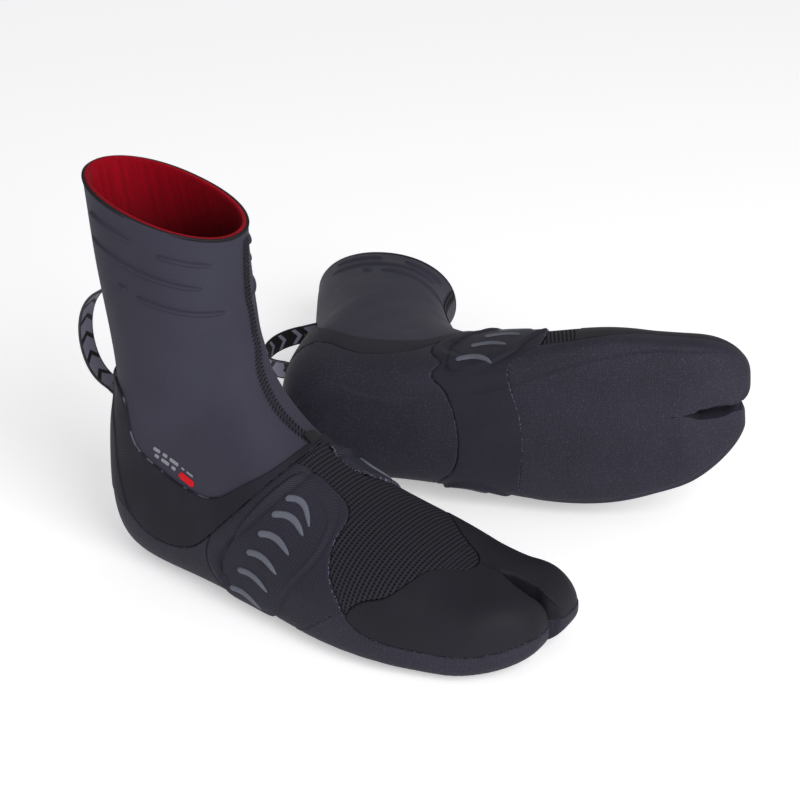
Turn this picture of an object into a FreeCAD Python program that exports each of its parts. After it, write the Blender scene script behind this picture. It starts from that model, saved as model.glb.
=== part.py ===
import FreeCAD, Part

import math
import os

from FreeCAD import Vector

# Pair of split-toe neoprene surf boots, EU 42-43, in millimetres.
# The row frame is the right boot's: origin on the floor under its heel, +Y towards the toes,
# +X towards the outer side of the right foot, +Z up. The left boot is its mirror image and
# lies on its outer side on the same floor, to the inner side of the right boot.

# ---- driving dimensions -------------------------------------------------------------------
LINING = (-4.1, -3.6)           # knitted lining, as offsets from the foam's outer face
FOAM = (-3.0, 0.0)              # neoprene foam, the boot's body
OVERLAY = (0.5, 1.4)            # rubber skins, mesh and sole glued over the foam
TRIM = (0.5, 1.0)               # seam tapes and raised seal dashes on the leg
PRINT = (0.4, 0.8)              # printed badge
UNDERSIDE_Z = 1.35              # height of the foam's flat underside
RIB = (1.75, 2.85)              # grip ribs on the arch band
HEEL_TAPE = (1.8, 2.4)          # tape over the heel cup's back seam
INSOLE_TOP = 7.6                # height of the insole's upper face
INSOLE_GAP = 0.5                # between the insole and the lining around it
JOINT_GAP = 0.3                 # width of the seam between neighbouring skins
SEAM_OVERRUN = 0.6              # how far a seam line runs past its end points

TOE_ROOT_Y = 190.0              # where the forefoot divides into two toes
TOE_FLEX_Y = 200.0              # where the stiff toe caps begin
TOE_CENTRE_Z = 13.0             # height that the toe outlines close on
SLOT_X = -3.0                   # centre of the slot between the toes
SLOT_HALF = 1.0
NOSE = 0.985                    # toes end in a small flat nose at this share of their length

ANKLE_Y, ANKLE_Z = 15.0, 85.0   # ankle crease axis
LEG_FRONT_ANGLE = 28.0          # lower edge of the stiff leg, degrees above level, in front
LEG_BACK_ANGLE = 22.0           # the same behind the axis
CUFF_STATION = 13.0
ANKLE_STATION = 11.0            # the foot's layers are built up to here, then cut on their seam
STATION_OVERRUN = 0.02
BINDING_STATION = 12.955        # lower edge of the cuff binding
FRONT_SEAM_X = -8.0
SEAM_HALF = 2.5

LOOP_HALF = 6.0                 # half-width of the pull loop's webbing
LOOP_THICK = 1.6
LOOP_Y = -55.0                  # the upright line about which the free webbing swings
LOOP_END_RADIUS = 6.1           # round ends of the free webbing
TACK_HOLLOW_RADIUS = 6.5        # hollow ends of the tacks around them

# The left boot's resting place: turned on the floor, rolled onto its outer side, toes raised.
LEFT_YAW, LEFT_ROLL, LEFT_PITCH = 23.5, -94.2, 5.4
LEFT_PLACE = Vector(-78.4, 50.2, 53.4)

FAR = 300.0                     # beyond the object in any direction

# Ring stations from the toe root (0) over the instep to the cuff (13). Each ring stands on the
# line from its bottom or back point to its top or front point:
# top y, z, bottom y, z, outer and inner half-width, height of the widest point as a share of
# the line, and how square the upper and the lower half are.
STATIONS = [
    (190, 45, 190, 1.2, 44, 44, 0.34, 2.5, 4.2),       # toe root
    (155, 57, 159, 1.2, 53, 46.5, 0.32, 2.3, 4.2),     # ball of the foot
    (119, 70, 124, 1.2, 54, 42, 0.32, 2.2, 4.2),
    (90, 88, 90, 1.2, 49, 37, 0.32, 2.1, 4.0),         # waist
    (72, 105, 60, 1.2, 44.5, 34, 0.32, 2.1, 3.8),      # instep
    (61, 118, 30, 1.2, 41, 34, 0.32, 2.1, 3.6),
    (54, 128.5, 0, 1.2, 39, 35, 0.34, 2.1, 3.4),
    (49.5, 137, -27, 6, 37.5, 36, 0.37, 2.1, 3.0),     # heel curve
    (47, 143.5, -40, 24, 37, 37, 0.40, 2.1, 2.6),
    (45, 150, -43.5, 51, 37, 37, 0.43, 2.1, 2.3),
    (43, 157, -41, 80, 37, 37, 0.48, 2.1, 2.2),        # above the heel
    (41, 166, -36.5, 111, 37, 37, 0.5, 2.1, 2.1),
    (41, 183, -45, 167, 37, 37, 0.5, 2.1, 2.1),        # calf
    (42.5, 202, -54, 223, 36, 36, 0.5, 2.1, 2.1),      # cuff
]

# Toes: outer edge x at the root, inner edge x, tip x, tip y, and how full each edge stays.
TOES = {
    "big_toe": (-44.0, SLOT_X - SLOT_HALF, -20.0, 236.0, 2.2, 4.5),
    "toes": (44.0, SLOT_X + SLOT_HALF, 10.0, 232.0, 1.4, 5.0),
}

# Seam lines. Side lines are (y, z) and cut straight across the boot; top lines are (x, y).
HEEL_CUP_TOP = [(-70, 92.5), (-44, 92), (-28, 90), (-14, 83), (-3, 73.5), (12, 66.5), (25, 63.5),
                (38, 62), (48, 65), (61, 73), (70, 79), (78, 85), (84, 90.5), (94, 100)]
RIM_LINE = [(-70, 41), (-43, 39.5), (-17, 34), (6, 26), (22, 25.5), (35, 31.5), (46, 43),
            (58, 57), (68, 69), (77, 79.5), (86, 89.5), (94, 98)]
BAND_REAR = [(46, 43), (43.5, 30), (47, 18), (56, 8), (65, 2), (70, -6)]
BAND_FRONT_OUTER = [(103, -6), (106, 1), (113, 9), (120, 16.5), (130, 25), (138.5, 32)]
BAND_SIDE_OUTER = [(138.5, 32), (131, 40.5), (126, 49), (123.2, 57), (122.7, 63)]
BAND_FRONT_INNER = [(103, -6), (106, 1), (112, 8), (117, 16), (119.7, 27), (119.7, 45), (119.7, 64)]
SOLE_SEAM_OUTER = [(138.5, 32), (143, 27), (150, 22.8), (160, 20), (176, 18.5), (192, 17.6)]
SOLE_SEAM_INNER = [(119.7, 28.5), (130, 28.5), (140, 26.5), (150, 22.8), (160, 20), (176, 18.5),
                   (192, 17.6)]
VAMP_OUTER = [(16.6, 85.3), (15, 89), (12.5, 97), (12.5, 105), (14.5, 115), (19, 120.5),
              (25, 122.7), (34, 122.7)]
VAMP_INNER = [(-9.7, 86.2), (-7.5, 99), (-9, 108), (-14, 113.5), (-21, 118), (-27, 119.7),
              (-36, 119.7)]
TOE_CAP_REAR = [(60, 134), (54, 140.5), (48, 152), (43, 160.5), (32, 167), (22, 171), (14, 178),
                (7, 186), (-2, 187.5), (-9, 182.5), (-14, 173), (-22, 162), (-33, 150),
                (-44, 138), (-54, 127)]

# Grip ribs: start (y, z) of the top and bottom rib, length along the foot and fall to the toes.
RIB_FIRST, RIB_LAST, RIB_COUNT = (90.0, 73.0), (61.5, 16.0), 6
RIB_LENGTH, RIB_FALL, RIB_RISE, RIB_HALF = 22.0, 5.5, 3.0, 1.6

# Seal dashes under the cuff: station, then first and last angle in degrees from the back.
SEAL_DASHES = [(12.77, 38, 98), (12.77, 115, 150), (12.53, 35, 148), (12.27, 74, 84),
               (12.27, 92, 160)]
SEAL_HALF = 1.1
SEAL_STEP = 4.0                 # degrees between the sections of a dash

RING_POINTS = 24                # points that shape each ring
KNOT_TOLERANCE = 0.001


# ---- boot surface -------------------------------------------------------------------------
def bends(values):
    """Second derivatives of the natural cubic spline through equally spaced values."""
    count = len(values)
    zero = values[0] * 0.0
    ratio = [0.0] * count
    curve = [zero] * count
    for i in range(1, count - 1):
        pivot = 4.0 - ratio[i - 1]
        ratio[i] = 1.0 / pivot
        bend = (values[i - 1] - values[i] * 2.0 + values[i + 1]) * 6.0
        curve[i] = (bend - curve[i - 1]) * (1.0 / pivot)
    for i in range(count - 2, 0, -1):
        curve[i] = curve[i] - curve[i + 1] * ratio[i]
    return curve


def natural_spline(rows):
    """Natural cubic spline through equally spaced rows; returns a function of the row number."""
    count = len(rows)
    columns = [(values, bends(values)) for values in zip(*rows)]

    def at(s):
        i = min(max(int(math.floor(s)), 0), count - 2)
        t = s - i
        r = 1.0 - t
        return [
            r * v[i] + t * v[i + 1] + ((r**3 - r) * m[i] + (t**3 - t) * m[i + 1]) / 6.0
            for v, m in columns
        ]

    return at


station_at = natural_spline(STATIONS)


def boot_point(s, angle, offset=0.0):
    """Point of the boot's surface: angle 0 is the bottom or back, 90 outer, 180 top or front."""
    top_y, top_z, low_y, low_z, outer, inner, widest, top_power, low_power = station_at(s)
    height = math.hypot(top_y - low_y, top_z - low_z)
    cos, sin = math.cos(math.radians(angle)), math.sin(math.radians(angle))
    half_height = (widest if cos > 0 else 1.0 - widest) * height + offset
    half_width = (outer if sin > 0 else inner) + offset
    power = low_power if cos > 0 else top_power
    reach = (abs(sin / half_width) ** power + abs(cos / half_height) ** power) ** (-1.0 / power)
    along = (widest * height - reach * cos) / height
    return Vector(reach * sin, low_y + (top_y - low_y) * along, low_z + (top_z - low_z) * along)


def surface_at(y, z, side):
    """Station and angle of the surface point that shows at (y, z) from the side."""
    low, high = 0.0, CUFF_STATION
    for _ in range(40):
        s = (low + high) / 2.0
        top_y, top_z, low_y, low_z = station_at(s)[:4]
        ahead = (top_y - low_y) * (z - low_z) - (top_z - low_z) * (y - low_y)
        if ahead > 0:
            low = s
        else:
            high = s
    top_y, top_z, low_y, low_z, outer, inner, widest, top_power, low_power = station_at(s)
    height = math.hypot(top_y - low_y, top_z - low_z)
    along = ((y - low_y) * (top_y - low_y) + (z - low_z) * (top_z - low_z)) / height
    down = widest * height - along
    half_height = widest * height if down > 0 else (1.0 - widest) * height
    power = low_power if down > 0 else top_power
    share = max(1.0 - abs(down / half_height) ** power, 0.0) ** (1.0 / power)
    across = (outer if side > 0 else inner) * share
    return s, math.degrees(math.atan2(side * across, down))


def toe_point(toe, y, angle, offset=0.0):
    """Point of one toe's surface in the plane at y."""
    outer_x, inner_x, tip_x, tip_y, outer_full, inner_full = TOES[toe]
    share = min(max((y - TOE_ROOT_Y) / (tip_y - TOE_ROOT_Y), 0.0), 1.0)

    def closing(full):
        return max(1.0 - share**full, 0.0) ** (1.0 / full)

    root = STATIONS[0]
    edge_out = tip_x + (outer_x - tip_x) * closing(outer_full)
    edge_in = tip_x + (inner_x - tip_x) * closing(inner_full)
    top = TOE_CENTRE_Z + (root[1] - TOE_CENTRE_Z) * closing(2.0)
    bottom = TOE_CENTRE_Z + (root[3] - TOE_CENTRE_Z) * closing(4.0)
    middle_z = bottom + (top - bottom) * 0.4
    # Only the outer edge grows with the offset, so the slot keeps its width.
    grow = max(offset, 0.0) / 2.0
    edge_out += math.copysign(grow * 2.0, outer_x) * closing(outer_full)
    half_width = abs(edge_out - edge_in) / 2.0 + min(offset, 0.0)
    cos, sin = math.cos(math.radians(angle)), math.sin(math.radians(angle))
    half_height = (middle_z - bottom if cos > 0 else top - middle_z) + offset
    power = 3.4 if cos > 0 else 2.4
    reach = (abs(sin / half_width) ** power + abs(cos / half_height) ** power) ** (-1.0 / power)
    return Vector((edge_out + edge_in) / 2.0 + reach * sin, y, middle_z - reach * cos)


# ---- solids -------------------------------------------------------------------------------
def span_poles(points):
    """Poles of the cubic spans through equally spaced points, three to a span and one to end."""
    curve = bends(points)
    poles = []
    for i in range(len(points) - 1):
        rise = points[i + 1] - points[i]
        leave = rise - (curve[i] * 2.0 + curve[i + 1]) * (1.0 / 6.0)
        arrive = rise + (curve[i] + curve[i + 1] * 2.0) * (1.0 / 6.0)
        poles += [points[i], points[i] + leave * (1.0 / 3.0), points[i + 1] - arrive * (1.0 / 3.0)]
    return poles + [points[-1]]


def ring_poles(points):
    """The same for a closed ring: neighbours from both ends are added, then cut off again."""
    wrap = 6
    poles = span_poles(points[-wrap:] + points + points[:wrap + 1])
    poles = poles[3 * wrap: 3 * (wrap + len(points)) + 1]
    poles[-1] = poles[0]
    return poles


def skin(rings):
    """Smooth closed tube through rings of points, as a spline surface."""
    around = [ring_poles(points) for points in rings]
    columns = [span_poles(list(column)) for column in zip(*around)]
    poles = [list(row) for row in zip(*columns)]
    u_spans, v_spans = len(rings) - 1, len(rings[0])
    surface = Part.BSplineSurface()
    surface.buildFromPolesMultsKnots(
        poles,
        [4] + [3] * (u_spans - 1) + [4],
        [4] + [3] * (v_spans - 1) + [4],
        [float(i) for i in range(u_spans + 1)],
        [float(i) for i in range(v_spans + 1)],
        False, False, 3, 3)
    for i in range(2, u_spans + 1):
        surface.removeUKnot(i, 1, KNOT_TOLERANCE)
    for i in range(2, v_spans + 1):
        surface.removeVKnot(i, 1, KNOT_TOLERANCE)
    return surface


def ring(s, offset):
    """Points round one station, closer together where the outline turns."""
    top_y, top_z, low_y, low_z, outer, inner, widest = station_at(s)[:7]
    height = math.hypot(top_y - low_y, top_z - low_z)
    points = []
    for k in range(RING_POINTS):
        turn = math.radians(360.0 / RING_POINTS * k)
        across = math.sin(turn) * (outer if math.sin(turn) > 0 else inner)
        down = math.cos(turn) * (widest if math.cos(turn) > 0 else 1.0 - widest) * height
        points.append(boot_point(s, math.degrees(math.atan2(across, down)), offset))
    return points


def end_wires(surface):
    first, last = surface.bounds()[:2]
    return [Part.Wire([surface.uIso(u).toShape()]) for u in (first, last)]


def closed_solid(faces):
    shell = Part.Shell(faces)
    shell.sewShape()
    solid = Part.Solid(shell)
    if solid.Volume < 0:
        solid.reverse()
    return solid


def tube_shell(outer_rings, inner_rings):
    """Closed solid between two skins, with a flat annulus at each end."""
    outer, inner = skin(outer_rings), skin(inner_rings)
    ends = []
    for wires in zip(end_wires(outer), end_wires(inner)):
        ends += Part.makeFace(list(wires), "Part::FaceMakerBullseye").Faces
    return closed_solid([outer.toShape(), inner.toShape().reversed()] + ends)


def filled_tube(rings):
    """Closed solid inside one skin, with a flat face at each end."""
    surface = skin(rings)
    return closed_solid([surface.toShape()] + [Part.Face(wire) for wire in end_wires(surface)])


def boot_layer(layer, first, last, count):
    """The boot's surface between two stations, as a shell between a layer's two offsets."""
    stations = [first + (last - first) * k / (count - 1) for k in range(count)]
    outer = [ring(s, layer[1]) for s in stations]
    inner = [ring(s, layer[0]) for s in stations]
    return tube_shell(outer, inner)


def flat_under(solid, offset):
    """A filled skin cut off level underneath, as far from the foam's underside as its offset."""
    return solid.common(block((-FAR, -FAR, UNDERSIDE_Z - offset), (FAR, FAR, FAR)))


def foot_layer(layer):
    """The foot and ankle as a shell between a layer's two offsets, flat underneath."""
    count = 23
    outer = filled_tube([ring(ANKLE_STATION * k / (count - 1), layer[1]) for k in range(count)])
    # The hollow runs on a little past both ends, so that it leaves them open.
    span = ANKLE_STATION + 2.0 * STATION_OVERRUN
    hollow = filled_tube([ring(span * k / (count - 1) - STATION_OVERRUN, layer[0]) for k in range(count)])
    return flat_under(outer, layer[1]).cut(flat_under(hollow, layer[0]))


def toe_solid(toe, first, offset):
    """Closed solid of one toe from the plane at first to its nose."""
    tip_y = TOES[toe][3] + min(offset, 0.0)
    last = TOE_ROOT_Y + (tip_y - TOE_ROOT_Y) * NOSE
    count = 9
    rings = []
    for k in range(count):
        # Rings crowd together towards the nose, where the outline closes.
        y = first + (last - first) * math.sin(math.pi / 2.0 * k / (count - 1))
        step = 360.0 / RING_POINTS
        rings.append([toe_point(toe, y, step * i, offset) for i in range(RING_POINTS)])
    return filled_tube(rings)


def open_curve(points):
    curve = Part.BSplineCurve()
    curve.interpolate(points)
    return curve


def seam_face(points, width):
    """A narrow strip along a smooth line in the plane of its points, run on past both ends."""
    curve = open_curve(points)
    first, last = curve.FirstParameter, curve.LastParameter
    normal = (points[1] - points[0]).cross(points[-1] - points[0])
    for other in points[2:]:
        candidate = (points[1] - points[0]).cross(other - points[0])
        if candidate.Length > normal.Length:
            normal = candidate
    normal.normalize()
    count = 2 * len(points)
    left, right = [], []
    for k in range(count + 1):
        u = first + (last - first) * k / count
        place, along = curve.value(u), curve.tangent(u)[0]
        if k == 0:
            place = place - along * SEAM_OVERRUN
        if k == count:
            place = place + along * SEAM_OVERRUN
        aside = along.cross(normal) * (width / 2.0)
        left.append(place + aside)
        right.append(place - aside)
    edges = [open_curve(left).toShape(), open_curve(right).toShape()]
    edges += [Part.makeLine(left[0], right[0]), Part.makeLine(left[-1], right[-1])]
    return Part.Face(Part.Wire(Part.__sortEdges__(edges)))


def side_seam(line, x_low, x_high, width=JOINT_GAP):
    """Thin wall that follows a side line and runs across the boot from x_low to x_high."""
    face = seam_face([Vector(x_low, y, z) for y, z in line], width)
    return face.extrude(Vector(x_high - x_low, 0, 0))


def top_seam(line, z_low, z_high, width=JOINT_GAP):
    """Thin wall that follows a top line and runs from z_low to z_high."""
    face = seam_face([Vector(x, y, z_low) for x, y in line], width)
    return face.extrude(Vector(0, 0, z_high - z_low))


def side_region(line, corners, lift=0.0):
    """Prism across the boot, bounded by a smooth side line and then by straight corners."""
    curve_points = [Vector(-FAR, y, z + lift) for y, z in line]
    edges = [open_curve(curve_points).toShape()]
    path = [curve_points[-1]] + [Vector(-FAR, y, z) for y, z in corners] + [curve_points[0]]
    edges += [Part.makeLine(a, b) for a, b in zip(path, path[1:])]
    face = Part.Face(Part.Wire(edges))
    return face.extrude(Vector(2.0 * FAR, 0, 0))


def side_polygon(corners):
    """Prism across the boot with straight sides."""
    points = [Vector(-FAR, y, z) for y, z in corners]
    face = Part.Face(Part.makePolygon(points + points[:1]))
    return face.extrude(Vector(2.0 * FAR, 0, 0))


def block(low, high):
    size = [b - a for a, b in zip(low, high)]
    return Part.makeBox(*size, Vector(*low))


def one_solid(shape):
    """The largest solid of a cut result."""
    return max(shape.Solids, key=lambda solid: solid.Volume)


def nearest(solids, x, y, z):
    seed = Part.Vertex(x, y, z)
    return min(solids, key=lambda solid: solid.distToShape(seed)[0])


# ---- regions of the boot ------------------------------------------------------------------
def leg_line_y(angle, y):
    return ANKLE_Z + 1.0 + abs(y - ANKLE_Y) * math.tan(math.radians(angle))


LEG_FRONT = (100.0, leg_line_y(LEG_FRONT_ANGLE, 100.0))
LEG_BACK = (-90.0, leg_line_y(LEG_BACK_ANGLE, -90.0))
LEG_APEX = (ANKLE_Y, ANKLE_Z + 1.0)


def below_heel_cup_top(floor=0.0):
    """Everything that belongs to the foot, down to the floor."""
    return side_region(HEEL_CUP_TOP, [(FAR, 100), (FAR, floor), (-70, floor)])


def above_leg_line():
    """Everything that belongs to the stiff part of the leg."""
    return side_polygon([LEG_APEX, LEG_FRONT, (100, FAR), (-90, FAR), LEG_BACK])


def ankle_zone():
    """The soft zone between the two, which creases when the ankle bends."""
    corners = [(LEG_FRONT[0], LEG_FRONT[1] - JOINT_GAP), (LEG_APEX[0], LEG_APEX[1] - JOINT_GAP),
               (LEG_BACK[0], LEG_BACK[1] - JOINT_GAP), (-90, 93)]
    return side_region(HEEL_CUP_TOP, corners, lift=JOINT_GAP)


# ---- pieces -------------------------------------------------------------------------------
def foot_skins():
    """The six glued skins of the foot, parted along their seam lines."""
    whole = foot_layer(OVERLAY).common(below_heel_cup_top())
    seams = [
        side_seam(RIM_LINE, -90, 90),
        side_seam(BAND_REAR, -90, 90),
        side_seam(BAND_FRONT_OUTER, -0.5, 90),
        side_seam(BAND_SIDE_OUTER, 28, 90),
        side_seam(BAND_FRONT_INNER, -90, 0.5),
        side_seam(SOLE_SEAM_OUTER, 20, 90),
        side_seam(SOLE_SEAM_INNER, -90, -20),
        top_seam(VAMP_OUTER, 50, 110),
        top_seam(VAMP_INNER, 50, 110),
        top_seam(TOE_CAP_REAR, 27, 90),
    ]
    solids = whole.cut(seams).Solids
    return {
        "heel_cup": nearest(solids, 38, -15, 55),
        "heel_sole": nearest(solids, 0, 10, 0.5),
        "arch_band": nearest(solids, 0, 85, 0.5),
        "forefoot_sole": nearest(solids, 0, 150, 0.5),
        "vamp_mesh": nearest(solids, 0, 130, 66),
        "toe_cap": nearest(solids, 30, 183, 43),
    }


def foot_inside():
    """Foam, lining, insole and the soft ankle zone behind the skins."""
    below = below_heel_cup_top()
    foam = foot_layer(FOAM).common(below)
    lining = foot_layer(LINING).common(below)
    last = filled_tube([ring(s / 2.0, LINING[0] - INSOLE_GAP) for s in range(17)])
    last = flat_under(last, LINING[0] - INSOLE_GAP)
    insole = last.common(block((-FAR, -38, 0), (FAR, TOE_ROOT_Y - 4, INSOLE_TOP)))
    ankle = boot_layer((LINING[0], FOAM[1]), 3.0, 12.0, 19).common(ankle_zone())
    return {
        "foot_foam": one_solid(foam),
        "foot_lining": one_solid(lining),
        "insole": one_solid(insole),
        "ankle_panel": one_solid(ankle),
    }


def raised_section(s, angle, up, layer, half):
    """Flat four-cornered section of a raised bar; up is a small step across the bar."""
    foot = boot_point(s, angle, layer[0])
    out = boot_point(s, angle, layer[1]) - foot
    across = (boot_point(s + up[0], angle + up[1]) - boot_point(s - up[0], angle - up[1]))
    across.normalize()
    across = across * half
    corners = [foot - across, foot + across, foot + out + across, foot + out - across]
    return Part.makePolygon(corners + corners[:1])


def ribs_on(side):
    """Six crescent grip ribs on one wing of the arch band."""
    ribs = []
    for k in range(RIB_COUNT):
        share = k / (RIB_COUNT - 1)
        start_y = RIB_FIRST[0] + (RIB_LAST[0] - RIB_FIRST[0]) * share
        start_z = RIB_FIRST[1] + (RIB_LAST[1] - RIB_FIRST[1]) * share
        sections = []
        for step in range(7):
            t = step / 6.0
            bow = math.sin(math.pi * t)
            y = start_y + RIB_LENGTH * t
            z = start_z - RIB_FALL * t + RIB_RISE * bow
            half = RIB_HALF * (0.35 + 0.65 * bow)
            place = surface_at(y, z, side)
            above = surface_at(y, z + 0.5, side)
            step_up = (above[0] - place[0], above[1] - place[1])
            sections.append(raised_section(*place, step_up, RIB, half))
        ribs.append(Part.makeLoft(sections, True, True))
    return Part.makeCompound(ribs)


def seal_dashes():
    """Raised dashes under the cuff, on both sides of the leg."""
    dashes = []
    for side in (1, -1):
        for s, first, last in SEAL_DASHES:
            count = int((last - first) / SEAL_STEP) + 2
            sections = []
            for k in range(count):
                angle = side * (first + (last - first) * k / (count - 1))
                sections.append(raised_section(s, angle, (0.01, 0.0), TRIM, SEAL_HALF))
            dashes.append(Part.makeLoft(sections, True, True))
    return Part.makeCompound(dashes)


def leg_pieces():
    """Stiff part of the leg: two foam panels, lining, cuff binding and seam tapes."""
    above = above_leg_line()
    foam = boot_layer(FOAM, 4.0, BINDING_STATION - 0.006, 19).common(above)
    gap = JOINT_GAP / 2.0
    front_cut = block((FRONT_SEAM_X - gap, 0, 0), (FRONT_SEAM_X + gap, FAR, FAR))
    back_cut = block((-gap, -FAR, 0), (gap, 0, FAR))
    panels = one_solid(foam).cut([front_cut, back_cut]).Solids
    lining = boot_layer(LINING, 4.0, BINDING_STATION - 0.006, 19).common(above)
    tape = boot_layer(TRIM, 4.0, BINDING_STATION - 0.006, 19).common(above)
    front = block((FRONT_SEAM_X - SEAM_HALF, 10, 0), (FRONT_SEAM_X + SEAM_HALF, FAR, FAR))
    back = block((-SEAM_HALF, -FAR, 0), (SEAM_HALF, 10, FAR))
    return {
        "leg_panel_outer": max(panels, key=lambda solid: solid.CenterOfMass.x),
        "leg_panel_inner": min(panels, key=lambda solid: solid.CenterOfMass.x),
        "leg_lining": one_solid(lining),
        "cuff_binding": boot_layer((LINING[0], TRIM[0]), BINDING_STATION, CUFF_STATION, 3),
        "front_seam": one_solid(tape.common(front)),
        "back_seam": one_solid(tape.common(back)),
        "cuff_seal_ribs": seal_dashes(),
    }


def heel_tape():
    """Tape that covers the heel cup's back seam."""
    layer = boot_layer(HEEL_TAPE, 7.0, 11.0, 9)
    return one_solid(layer.common(block((-5, -FAR, 22), (5, 0, 90))))


def badge():
    """Generic printed patch on the outer ankle."""
    rows = []
    for offset in PRINT:
        rows.append([[boot_point(*surface_at(7.0 + 6.0 * i, 80.0 - 2.2 * i - 2.6 * j, 1), offset)
                      for j in range(4)] for i in range(5)])
    lower, upper = [grid_face(rows_of_points) for rows_of_points in rows]
    return joined_faces(lower, upper)


def grid_face(rows):
    surface = Part.BSplineSurface()
    surface.interpolate(rows)
    return surface.toShape()


def joined_faces(lower, upper):
    """Closed solid between two matching four-sided faces."""
    faces = [lower, upper]
    for low_edge, high_edge in zip(lower.Edges, upper.Edges):
        faces.append(Part.makeRuledSurface(low_edge, high_edge))
    return closed_solid(faces)


def bartack():
    """Dense stitch patch where the front seam meets the instep."""
    rows = []
    for offset in (OVERLAY[1] + 0.4, OVERLAY[1] + 1.4):
        rows.append([[boot_point(3.02 + 0.05 * i, 180.0 + 3.0 * j, offset) for j in range(4)]
                     for i in range(4)])
    lower, upper = [grid_face(rows_of_points) for rows_of_points in rows]
    return joined_faces(lower, upper)


def upright_round(radius):
    """Tall cylinder about the line on which the pull loop swings."""
    return Part.makeCylinder(radius, FAR, Vector(0, LOOP_Y, 0))


def pull_loop():
    """Webbing loop behind the heel, and the two sewn tacks that hold it."""
    path = [(-48.5, 149.4), (-57, 144), (-64.5, 134), (-68, 118), (-65, 102), (-58, 92.5),
            (-48.5, 87.7)]
    webbing = side_seam(path, -LOOP_HALF, LOOP_HALF, LOOP_THICK)
    behind = block((-FAR, -FAR, 0), (FAR, LOOP_Y, FAR))
    loop = one_solid(webbing.common(behind.fuse(upright_round(LOOP_END_RADIUS))))
    tacks = []
    for path in ([(-44.8, 152.0), (-48.5, 149.4), (-54, 146.1)], [(-46.6, 86.4), (-48.5, 87.7), (-54, 90.2)]):
        end = side_seam(path, -LOOP_HALF, LOOP_HALF, LOOP_THICK)
        tacks.append(one_solid(end.cut(upright_round(TACK_HOLLOW_RADIUS))))
    return {"pull_loop": loop, "loop_tacks": Part.makeCompound(tacks)}


def toe_pieces(toe):
    """One toe: rubber cap above its seam, sole below it, and the soft zone behind both."""
    side = 1 if toe == "toes" else -1
    outer = toe_solid(toe, TOE_ROOT_Y + JOINT_GAP, OVERLAY[1])
    hollow = toe_solid(toe, TOE_ROOT_Y - 2.0, LINING[0])
    wall = outer.cut(hollow).common(block((-FAR, 0, 0), (FAR, FAR, FAR)))
    tip = wall.common(block((-FAR, TOE_FLEX_Y, 0), (FAR, FAR, FAR)))
    zone = wall.common(block((-FAR, 0, 0), (FAR, TOE_FLEX_Y - JOINT_GAP, FAR)))
    seam_line = [(194, 17.6), (205, 17.8), (213, 19), (222, 21.5), (232, 25), (244, 28)]
    halves = one_solid(tip).cut(side_seam(seam_line, -FAR, FAR)).Solids
    return {
        toe + "_cap": max(halves, key=lambda solid: solid.CenterOfMass.z),
        toe + "_sole": min(halves, key=lambda solid: solid.CenterOfMass.z),
        toe + "_flex_zone": one_solid(zone),
    }


# ---- the pair -----------------------------------------------------------------------------
def right_boot():
    pieces = {}
    pieces.update(foot_skins())
    pieces.update(foot_inside())
    pieces.update(leg_pieces())
    pieces.update(pull_loop())
    for toe in TOES:
        pieces.update(toe_pieces(toe))
    pieces["outer_grip_ribs"] = ribs_on(1)
    pieces["inner_grip_ribs"] = ribs_on(-1)
    pieces["heel_tape"] = heel_tape()
    pieces["side_badge"] = badge()
    pieces["instep_bartack"] = bartack()
    return pieces


def to_left(shape):
    """The mirror image of a piece, laid down where the left boot rests."""
    piece = shape.mirror(Vector(0, 0, 0), Vector(1, 0, 0))
    origin = Vector(0, 0, 0)
    piece.rotate(origin, Vector(0, 1, 0), LEFT_ROLL)
    piece.rotate(origin, Vector(1, 0, 0), LEFT_PITCH)
    piece.rotate(origin, Vector(0, 0, 1), LEFT_YAW)
    piece.translate(LEFT_PLACE)
    return piece


def main():
    os.makedirs("parts", exist_ok=True)
    for name, shape in right_boot().items():
        shape.exportStep("parts/right_" + name + ".step")
        to_left(shape).exportStep("parts/left_" + name + ".step")


main()
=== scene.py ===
"""Looks for the pair of split-toe neoprene boots.

Lengths are in millimetres in the right boot's own frame until a mesh is made: origin on the floor
under the heel, +Y towards the toes, +X towards the outer side, +Z up. The left boot is the same
work mirrored, and laid where the frame has it. Every skin of a boot is cut out of one smooth base
surface along its seam lines, then raised from it, so neighbours always meet.
"""

import math

import bpy
import numpy as np
from mathutils import Matrix, Vector


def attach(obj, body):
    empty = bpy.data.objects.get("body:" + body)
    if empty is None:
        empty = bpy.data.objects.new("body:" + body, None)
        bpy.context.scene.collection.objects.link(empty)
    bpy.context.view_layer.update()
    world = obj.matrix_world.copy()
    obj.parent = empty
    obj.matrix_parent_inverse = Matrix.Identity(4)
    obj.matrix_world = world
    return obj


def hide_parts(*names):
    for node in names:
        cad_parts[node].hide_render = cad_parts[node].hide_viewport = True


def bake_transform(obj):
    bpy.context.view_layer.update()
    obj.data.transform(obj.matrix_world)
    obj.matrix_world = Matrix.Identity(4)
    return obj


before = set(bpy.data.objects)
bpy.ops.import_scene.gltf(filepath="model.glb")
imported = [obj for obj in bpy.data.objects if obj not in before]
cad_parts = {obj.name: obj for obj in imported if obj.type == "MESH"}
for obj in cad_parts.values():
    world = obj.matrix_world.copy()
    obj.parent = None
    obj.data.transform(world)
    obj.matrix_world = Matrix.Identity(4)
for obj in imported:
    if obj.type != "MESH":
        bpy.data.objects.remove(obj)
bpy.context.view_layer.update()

MM = 0.001
FULL_TURN = 2.0 * math.pi

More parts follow.
